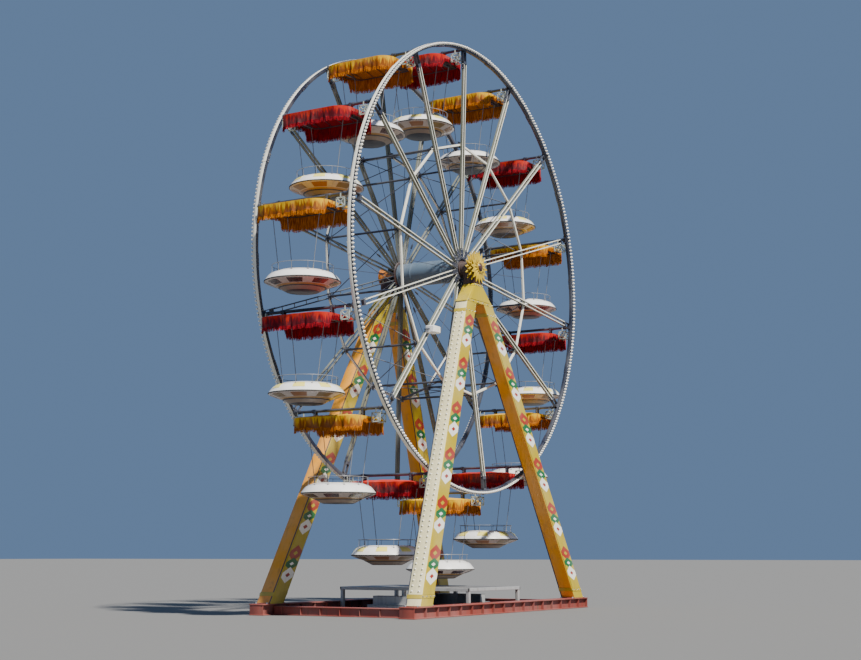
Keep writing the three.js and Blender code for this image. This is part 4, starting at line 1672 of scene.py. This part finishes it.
    def deck(self) -> None:
        """The boarding deck: tread panels in an edge frame on posts, with steps at both ends."""
        _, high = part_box("boarding_deck")
        top, reach, going, wide = high.z, high.y, self.step_going, self.step_half
        half_x, under = high.x - 2 * going, top - 0.09
        parts = []
        xs = np.linspace(-half_x + 0.04, half_x - 0.04, 5)
        ys = np.linspace(-reach + 0.04, reach - 0.04, 6)
        for x0, x1 in zip(xs, xs[1:]):
            for y0, y1 in zip(ys, ys[1:]):
                parts.append(block((x0 + 0.003, y0 + 0.003, top - 0.012), (x1 - 0.003, y1 - 0.003, top),
                                   0.003))
        for y in (-reach, reach - 0.04):
            parts.append(block((-half_x, y, under), (half_x, y + 0.04, top), 0.006, 1))
        for x in (-half_x, half_x - 0.04):
            parts.append(block((x, -reach, under), (x + 0.04, reach, top), 0.006, 1))
        for x in xs[1:-1]:
            parts.append(block((x - 0.03, -reach + 0.02, under + 0.01), (x + 0.03, reach - 0.02, top - 0.01),
                               0.005, 1))
        for x in (-half_x, half_x - 0.12):
            for y in (-reach, -0.06, reach - 0.12):
                parts.append(block((x + 0.01, y + 0.01, 0.012), (x + 0.11, y + 0.11, under + 0.01), 0.01, 1))
                parts.append(block((x, y, 0.0), (x + 0.12, y + 0.12, 0.016), 0.004, 1))
        for hand in Hand:
            for step in (1, 2):
                level = top / 3 * (3 - step)
                far = half_x + going * step
                x0, x1 = hand.span(half_x + going * (step - 1), far)
                parts.append(block((x0, -wide, level - 0.03), (x1, wide, level)))
                n0, n1 = hand.span(far - 0.012, far)
                parts.append(block((n0, -wide, 0.0), (n1, wide, level - 0.02), 0.003, 1))
                for y in (-wide, 0.788):
                    parts.append(block((x0, y, 0.0), (x1, y + 0.012, level - 0.02), 0.003, 1))
        piece("boarding_deck_dressed", parts,
              self.finishes.pick("tread_plate", "pale_steel"), "stand", "deck_metal", "boarding_deck")


# Cabins


@dataclass
class Cabin:
    """One cabin, in metres from its pivot: pivot bar, hangers, canopy, fringe, tub, rods and rail.

    The shapes are worked out once and moved to each pivot; the cloth's folds and the lengths of the
    fringe differ from cabin to cabin.
    """

    finishes: Finishes
    bar_radius: float = 0.04
    bar_reach: float = 1.4495
    half_x: float = 0.8
    half_y: float = 1.09
    corner: float = 0.42
    crown_z: float = -0.135
    edge_z: float = -0.23
    fringe_z: float = -0.676
    fringe_drop: float = 0.11
    end_half: float = 0.52
    end_rise: float = 0.25
    side_lift: float = 0.012
    roof_power: float = 2.4
    rib_pitch: float = 0.38
    hoop_z: float = -0.246
    collar_places: tuple[float, ...] = (-1.33, -0.87, 0.79, 1.25)
    # Painted shade: the roof's inner face goes dark brown on the near side of this line.
    shade_patch_end_y: float = -0.6
    cloth_thickness: float = 0.006
    fold_depth: float = 0.03
    hanger_y: float = 0.76
    cross_half: float = 0.38
    cross_z: float = -0.32
    columns: int = 168
    strands: int = 560
    tub_sides: int = 64
    panels: int = 8
    rail_radius: float = 0.8
    rail_z: float = -1.78
    rail_foot_z: float = -1.995
    rod_radius: float = 0.0095
    rod_top: tuple[float, float] = (0.33, 0.76)
    rod_foot: tuple[float, float] = (0.305, 0.54)
    lip_z: float = -1.935

    def __post_init__(self) -> None:
        """Works out the canopy's outline, with even steps round it, and its outward directions."""
        ring = soft_rectangle(2 * self.half_x, 2 * self.half_y, self.corner, 8)
        closed = np.vstack([ring, ring[:1]])
        length = running_length(closed)
        self.perimeter = float(length[-1])
        self.run = np.linspace(0, self.perimeter, self.columns + 1)
        self.outline = np.stack([np.interp(self.run, length, closed[:, axis]) for axis in (0, 1)], -1)
        step = np.roll(self.outline[:-1], -1, axis=0) - np.roll(self.outline[:-1], 1, axis=0)
        away = unit(np.stack([step[:, 1], -step[:, 0]], -1))
        self.away = np.vstack([away, away[:1]])
        self.frame_shape = self.frame()
        self.rail_shape = self.grab_rail()
        self.tub_shapes = [self.tub(k) for k in range(2)]

    def build(self, number: int, pivot: Array) -> None:
        """Builds one cabin's pieces at its pivot."""
        label, body = f"{number + 1:02d}", f"cabin_{number + 1:02d}"
        colour = "yellow" if number % 2 else "red"
        cloth, thread = f"{colour}_cloth", f"{colour}_thread"
        frame = piece(f"canopy_frame_{label}", [self.frame_shape.moved(pivot)],
                      self.finishes.pick("dark_enamel", "green_cream_enamel", "bolt_zinc"), body,
                      "dark_steel", f"canopy_{label}")
        sheet = piece(f"canopy_cloth_{label}", [self.cloth(number).moved(pivot)],
                      self.finishes.pick(cloth, "roof_shade_brown", thread), body, cloth, f"canopy_{label}")
        fringe = piece(f"fringe_{label}", [self.fringe(number).moved(pivot)],
                       self.finishes.pick(thread), body, cloth)
        drop = self.edge_z - float(self.hem(number).mean())
        piece(f"tub_shell_{label}", [self.tub_shapes[number % 2].moved(pivot)],
              self.finishes.pick("tub_white", "panel_maroon", "panel_ochre", "deck_yellow", "rubber_pad",
                                 "tub_inside", "bench_brown", "dark_enamel", "bolt_zinc", "band_gold",
                                 "bowl_shade_grey", "panel_orange", "rod_grey", "cone_shade_grey"),
              body, "tub_shell", f"tub_{label}")
        piece(f"tub_rail_{label}", [self.rail_shape.moved(pivot)],
              self.finishes.pick("rod_grey", "bolt_zinc"), body, "dark_steel")

    def folds(self, number: int) -> Array:
        """How far the valance stands out round the outline, as a sum of waves that differ by cabin."""
        turn = self.run / self.perimeter * 2 * math.pi
        shift = number * 1.7
        return (0.35 * np.sin(17 * turn + shift) + 0.4 * np.sin(31 * turn + 2.3 * shift)
                + 0.35 * np.sin(47 * turn + 0.6 * shift))

    def reach_z(self) -> Array:
        """The lowest the fringe hangs round the outline: high at both ends, a little higher on one side."""
        x, y = self.outline.T
        end = np.clip((self.end_half - np.abs(x)) / 0.07, 0, 1) * (np.abs(y) > self.half_y / 2)
        return self.fringe_z + self.end_rise * end + self.side_lift * (1 - x / self.half_x) * (1 - end)

    def hem(self, number: int) -> Array:
        """Height of the valance's lower edge round the outline, in uneven scallops."""
        turn = self.run / self.perimeter * 2 * math.pi
        scallop = np.abs(np.sin(self.run / 0.21 * math.pi + 0.6 * np.sin(5 * turn + number)))
        uneven = 0.012 * np.sin(3 * turn + number) + 0.014 * np.sin(13 * turn + 2.1 * number)
        return self.reach_z() + self.fringe_drop + 0.03 * (1 - scallop) + uneven

    def layer(self, number: int, inset: float) -> tuple[Array, Array]:
        """One face of the canopy cloth: a grid from the crown over the eave to the hem.

        On the roof the outline shrinks by s and the height is crown + (edge - crown) s^power, less a sag
        between the ribs; below the eave it hangs, and its folds grow with the drop.
        """
        share = np.array([0.0, 0.15, 0.3, 0.45, 0.58, 0.7, 0.8, 0.88, 0.94, 0.98, 1.0])[:, None]
        outline = self.outline - self.away * inset
        roof_xy = outline[None] * share[..., None]
        ribs = np.cos(roof_xy[..., 1] / self.rib_pitch * math.pi) ** 2
        sag = 0.012 * (1 - ribs) * share * (1 - share) * 4
        roof_z = self.crown_z - inset + (self.edge_z - self.crown_z) * share**self.roof_power - sag
        drop = np.linspace(0.06, 1, 12)[:, None] ** 1.1
        swing = self.folds(number)[None] * self.fold_depth * drop - 0.014 * drop
        valance_xy = outline[None] + self.away[None] * swing[..., None]
        hem = self.hem(number)[None]
        valance_z = (self.edge_z - inset) + (hem - self.edge_z + inset) * drop
        points = np.concatenate([np.dstack([roof_xy, roof_z]), np.dstack([valance_xy, valance_z])])
        down = np.concatenate([(share - 1) * 0.9 + self.run * 0, self.edge_z - valance_z])
        uv = np.stack([np.broadcast_to(self.run, down.shape), down], -1)
        return points, uv

    def cloth(self, number: int) -> Surface:
        """The canopy cloth: an outer face, a lining under the roof with a painted shade patch towards the
        near end, an inner face and its hem edge.
        """
        outer, uv = self.layer(number, 0.0)
        inner, _ = self.layer(number, self.cloth_thickness)
        roof_rows = 10
        tones = np.full((len(inner) - 1, self.columns), 2)
        # Painted shade: the roof's inner face goes dark brown towards the near end; the rest takes the thread
        # colour.
        tones[:roof_rows] = np.where(self.outline[:-1, 1] < self.shade_patch_end_y, 1, 2)
        return Surface.join(Surface.grid(outer, uv), Surface.grid(inner, uv, tones),
                            Surface.grid(np.stack([outer[-1], inner[-1]]), np.stack([uv[-1], uv[-1]])))

    def fringe(self, number: int) -> Surface:
        """Threads of uneven length that hang from a braid sewn round the hem."""
        random = np.random.default_rng(100 + number)
        rows, _ = self.layer(number, self.cloth_thickness / 2)
        hem = rows[-1]
        braid_path = hem[:-1] + [0, 0, 0.004]
        braid = swept(braid_path, soft_rectangle(0.014, 0.026, 0.005, 1), UPWARD, closed=True)
        place = (np.arange(self.strands) + random.uniform(-0.3, 0.3, self.strands)) / self.strands
        run = place % 1 * self.perimeter
        top = np.stack([np.interp(run, self.run, hem[:, axis]) for axis in range(3)], -1)
        away = np.stack([np.interp(run, self.run, self.away[:, axis]) for axis in (0, 1)], -1)
        along = np.stack([-away[:, 1], away[:, 0]], -1)
        clump = 0.5 + 0.5 * np.sin(run * 23 + number) * np.sin(run * 7.3)
        low = np.interp(run, self.run, self.reach_z())
        length = (top[:, 2] - low) * (0.7 + 0.3 * clump) * random.uniform(0.8, 1.0, self.strands)
        lean = along * random.normal(0, 0.012, self.strands)[:, None]
        lean += away * (0.006 + random.normal(0, 0.006, self.strands))[:, None]
        middle = top + np.column_stack([lean * 0.4, -0.5 * length])
        foot = top + np.column_stack([lean, -length])
        thread = circle(0.0085, 3)
        return Surface.join(braid, struts(top, middle, thread, RIGHTWARD + ALONG_AXLE, 0),
                            struts(middle, foot, thread * 0.75, RIGHTWARD + ALONG_AXLE, 0))

    def roof_z(self, share: Array) -> Array:
        """Height of the roof at a share of the way from the crown to the eave."""
        return self.crown_z + (self.edge_z - self.crown_z) * share**self.roof_power

    def frame(self) -> Surface:
        """Pivot bar, collars, hangers, cross arms, end lattices, the eave hoop, ribs and the spine."""
        reach = self.bar_reach
        ends = np.array([[0, -reach, 0], [0, reach, 0]])
        parts = [struts(ends[:1], ends[1:], circle(self.bar_radius, 20), UPWARD, 0)]
        collar = np.array([[0.038, 0], [0.05, 0], [0.055, 0.008], [0.055, 0.072], [0.05, 0.08],
                           [0.038, 0.08]])
        axle = np.array([[0, y, 0] for y in self.collar_places], float)
        parts.append(turned(collar, 20, ALONG_AXLE, 0).placed(frames(axle, RIGHTWARD, ALONG_AXLE)))
        for sign in (-1, 1):
            y = sign * self.hanger_y
            for x in (-0.05, 0.05):
                parts.append(block((x - 0.007, y - 0.035, self.cross_z), (x + 0.007, y + 0.035, 0.045),
                                   0.003))
            parts.append(block((-self.cross_half, y - 0.025, self.cross_z - 0.02),
                               (self.cross_half, y + 0.025, self.cross_z + 0.02), 0.005))
            knees = np.array([[-0.34, y, self.cross_z + 0.015], [0.34, y, self.cross_z + 0.015]])
            tops = np.array([[-0.05, y, -0.16], [0.05, y, -0.16]])
            parts.append(struts(knees, tops, circle(0.012), ALONG_AXLE, 0))
            parts.append(self.lattice(sign))
            heads = np.array([[-0.058, y, -0.1], [-0.058, y, -0.27]])
            parts.append(bolts(heads, UPWARD, ALONG_AXLE, 0.014, 0.012, 2))
        eave = self.outline[:-1:2] * 0.962
        hoop = np.column_stack([eave, np.full(len(eave), self.hoop_z)])
        parts.append(swept(hoop, circle(0.013, 6), UPWARD, closed=True))
        x = np.linspace(-0.94, 0.94, 15) / 0.94 * (self.half_x * 0.96)
        for y in self.rib_pitch * np.arange(-2, 3):
            share = np.maximum(np.abs(x) / self.half_x, abs(y) / self.half_y)
            rib = np.column_stack([x, np.full(len(x), y), self.roof_z(share) - 0.024])
            parts.append(swept(rib, circle(0.009, 6), UPWARD))
        y = np.linspace(-1.03, 1.03, 19)
        spine = np.column_stack([np.zeros(len(y)), y, self.roof_z(np.abs(y) / self.half_y) - 0.028])
        parts.append(swept(spine, circle(0.012, 6), UPWARD))
        return Surface.join(*parts)

    def lattice(self, sign: int) -> Surface:
        """Two braced panels of flat bar between the pivot bar and the canopy's end."""
        y0, y1 = sign * 1.13, sign * 1.38
        z0, z1 = -0.37, -0.14
        middle = (y0 + y1) / 2
        starts = [(y0, z1), (y1, z1), (y1, z0), (y0, z0), (y0, z0), (y0, z1), (middle, z1)]
        ends = [(y1, z1), (y1, z0), (y0, z0), (y0, z1), (y1, z1), (y1, z0), (middle, -0.02)]
        flat = soft_rectangle(0.034, 0.012, 0.004, 1)
        panels = []
        for x in (-0.14, 0.14):
            low, high = (np.insert(np.array(points), 0, x, axis=1) for points in (starts, ends))
            panels.append(struts(low, high, flat, RIGHTWARD, 1))
        return Surface.join(*panels)

    def tub(self, kind: int) -> Surface:
        """The round tub: deck, rim, panelled cone, bowl, bench well, bumper and hanging rods.

        Its wall is one closed profile turned about the upright axis; panels and patches are raised
        sectors laid on the cone and the deck.
        """
        outside = [(0.0, -2.468), (0.405, -2.468), (0.44, -2.455), (0.585, -2.377), (0.61, -2.362),
                   (0.63, -2.352), (0.7, -2.326), (0.965, -2.229), (0.99, -2.215), (1.0, -2.2),
                   (0.99, -2.182), (0.93, -2.102), (0.89, -2.054), (0.85, -2.02), (0.79, -1.99),
                   (0.71, -1.96), (0.66, -1.943), (0.64, -1.937), (0.615, -1.936), (0.6, -1.95),
                   (0.545, -2.09), (0.535, -2.1), (0.44, -2.105), (0.425, -2.12), (0.425, -2.39),
                   (0.41, -2.398), (0.0, -2.398)]
        # Painted shade on the white underside: the lower cone takes the grey-pink shade copy, the lower bowl
        # the darker grey-brown, and the bottom the dark enamel.
        tones = np.array([7, 7, 10, 7, 9, 9, 13, 13] + [0] * 11 + [5, 6, 6, 6, 5, 5, 5])
        parts = [turned(np.array(outside), self.tub_sides, finish=tones)]
        pitch = 2 * math.pi / self.panels
        middles = (np.arange(self.panels) + 0.5) * pitch
        cone = np.array([(0.735, -2.3135), (0.8, -2.29), (0.87, -2.264), (0.94, -2.238)])
        paints = (11, 2) if kind == 0 else (1, 1)
        for start, paint in enumerate(paints):
            parts.append(self.sectors(middles[start::2], 0.29 * pitch, cone, 0.006, paint, 6))
        if kind == 0:
            crest = np.array([(0.93, -2.102), (0.89, -2.054), (0.85, -2.02), (0.79, -1.99), (0.75, -1.975)])
            parts.append(self.sectors(middles, 0.22 * pitch, crest, 0.005, 3, 5))
        bumper = turned(np.array([[0.985, -2.218], [1.0, -2.21], [1.0, -2.19], [0.985, -2.182]]),
                        self.tub_sides, finish=4)
        seam = turned(np.array([[0.604, -2.373], [0.622, -2.367], [0.622, -2.349], [0.604, -2.345]]),
                      self.tub_sides, finish=7)
        drain = turned(np.array([[0, -2.47], [0.12, -2.47], [0.13, -2.462]]), 24, finish=7)
        parts += [bumper, seam, drain]
        signs = np.array([(sx, sy) for sx in (-1, 1) for sy in (-1, 1)])
        feet = np.column_stack([signs * self.rod_foot, np.full(4, self.lip_z - 0.02)])
        tops = np.column_stack([signs * self.rod_top, np.full(4, self.cross_z - 0.0205)])
        parts.append(struts(feet, tops, circle(self.rod_radius), RIGHTWARD, 12))
        for ends, others, length in ((feet, tops, 0.13), (tops, feet, 0.09)):
            parts.append(struts(ends, ends + unit(others - ends) * length,
                                circle(self.rod_radius + 0.005), RIGHTWARD, 12))
        parts.append(washers(feet + [0, 0, 0.02], RIGHTWARD, ALONG_AXLE, 0.035, 0.01, 8))
        return Surface.join(*parts)

    def sectors(self, middles: Array, half: float, line: Array, raised: float, finish: int,
                columns: int) -> Surface:
        """Raised patches on the tub along a line of (radius, height), one about each middle angle.

        Args:
            middles: The angle of each patch's middle.
            half: Half the angle it covers.
            line: The line on the tub.
            raised: How far it stands out.
            finish: The finish number.
            columns: How many points across it.

        Returns:
            All the patches.
        """
        swing = np.linspace(-half, half, columns)[None]
        slope = unit(np.gradient(line, axis=0))
        offset = raised * np.stack([slope[:, 1], -slope[:, 0]], -1)
        patches = []
        for middle in middles:
            out = np.stack([np.cos(middle + swing), np.sin(middle + swing)], -1)
            sheets = []
            for edge in (line + offset, line - offset):
                height = np.broadcast_to(edge[:, 1:], (len(line), columns))
                sheets.append(np.dstack([out * edge[:, None, :1], height]))
            patches.append(slab(*sheets, finish=finish))
        return Surface.join(*patches)

    def grab_rail(self) -> Surface:
        """A round rail over the deck on twelve posts, each on a round foot."""
        angle = turns(48)
        ring = np.stack([np.cos(angle), np.sin(angle), angle * 0], -1)
        top = ring * self.rail_radius + [0, 0, self.rail_z]
        parts = [swept(top, circle(0.008, 6), UPWARD, closed=True)]
        posts = ring[2::4]
        foot = posts * self.rail_radius + [0, 0, self.rail_foot_z]
        head = posts * self.rail_radius + [0, 0, self.rail_z]
        parts.append(struts(foot, head, circle(0.006, 6), posts))
        parts.append(washers(foot, RIGHTWARD, ALONG_AXLE, 0.028, 0.012, 1))
        return Surface.join(*parts)


# Studio


@dataclass
class Studio:
    """A plain grey floor, light from high on the near side under a blue sky, and the camera."""

    camera_place: Triple = (-37.1, -22.2, 1.6)
    aim: Triple = (0.0, 0.0, 8.15)
    lens: float = 62.0
    floor_half: float = 400.0
    floor_colour: Triple = (0.17, 0.167, 0.16)
    sky: Triple = (0.33, 0.53, 0.92)
    sky_strength: float = 0.38
    sun_strength: float = 8.0
    sun_from: Triple = (-0.22, -0.55, 0.8)
    sun_softness: float = 0.05
    sun_colour: Triple = (1.0, 0.965, 0.9)
    far_clip: float = 2000

    def build(self) -> None:
        """Builds the floor, the lights and the camera."""
        self.floor()
        self.lights()
        self.camera()

    def floor(self) -> None:
        """The plain floor."""
        edge = (-self.floor_half, self.floor_half)
        square = np.array([[(x, y, 0.0) for x in edge] for y in edge])
        made, tree, shader = new_material("floor_pale")
        tree.feed(shader, {"Base Color": opaque(self.floor_colour), "Roughness": 0.85})
        ground = in_scene("floor", Surface.grid(square).mesh("floor", [made]))
        ground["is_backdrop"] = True

    def lights(self) -> None:
        """A soft key light from high on the near side, and an even sky."""
        data = bpy.data.lights.new("key", "SUN")
        data.energy = self.sun_strength
        data.angle = self.sun_softness
        data.color = self.sun_colour
        key = in_scene("key", data)
        key.rotation_euler = Vector(self.sun_from).to_track_quat("Z", "Y").to_euler()
        world = bpy.data.worlds.new("pale_sky")
        world.use_nodes = True
        Tree(world.node_tree).feed(world.node_tree.nodes["Background"],
                                   {"Color": opaque(self.sky), "Strength": self.sky_strength})
        bpy.context.scene.world = world

    def camera(self) -> None:
        """The camera, at the photograph's place and turned to the middle of the wheel."""
        data = bpy.data.cameras.new("camera")
        data.lens = self.lens
        data.clip_end = self.far_clip
        camera = in_scene("camera", data)
        camera.location = self.camera_place
        towards = Vector(self.aim) - Vector(self.camera_place)
        camera.rotation_euler = towards.to_track_quat("-Z", "Y").to_euler()
        bpy.context.scene.camera = camera


def corners(box: tuple[Vector, Vector]) -> list[list[float]]:
    """A box's lowest and highest corner as plain lists."""
    return [list(corner) for corner in box]


def main() -> None:
    """Loads the frame and builds the wheel, the stand, the cabins and the studio in order."""
    logging.basicConfig(level=logging.INFO, format="%(name)s %(message)s")
    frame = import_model()
    packed = corners(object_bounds())
    layout = Layout(frame["joints"])
    finishes = Finishes()
    Studio().build()
    Wheel(layout, finishes).build()
    Stand(layout, finishes, frame["nodes"]).build()
    cabin = Cabin(finishes)
    for number, pivot in enumerate(layout.pivots):
        cabin.build(number, pivot)
    corners(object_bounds())


if __name__ == "__main__":
    main()
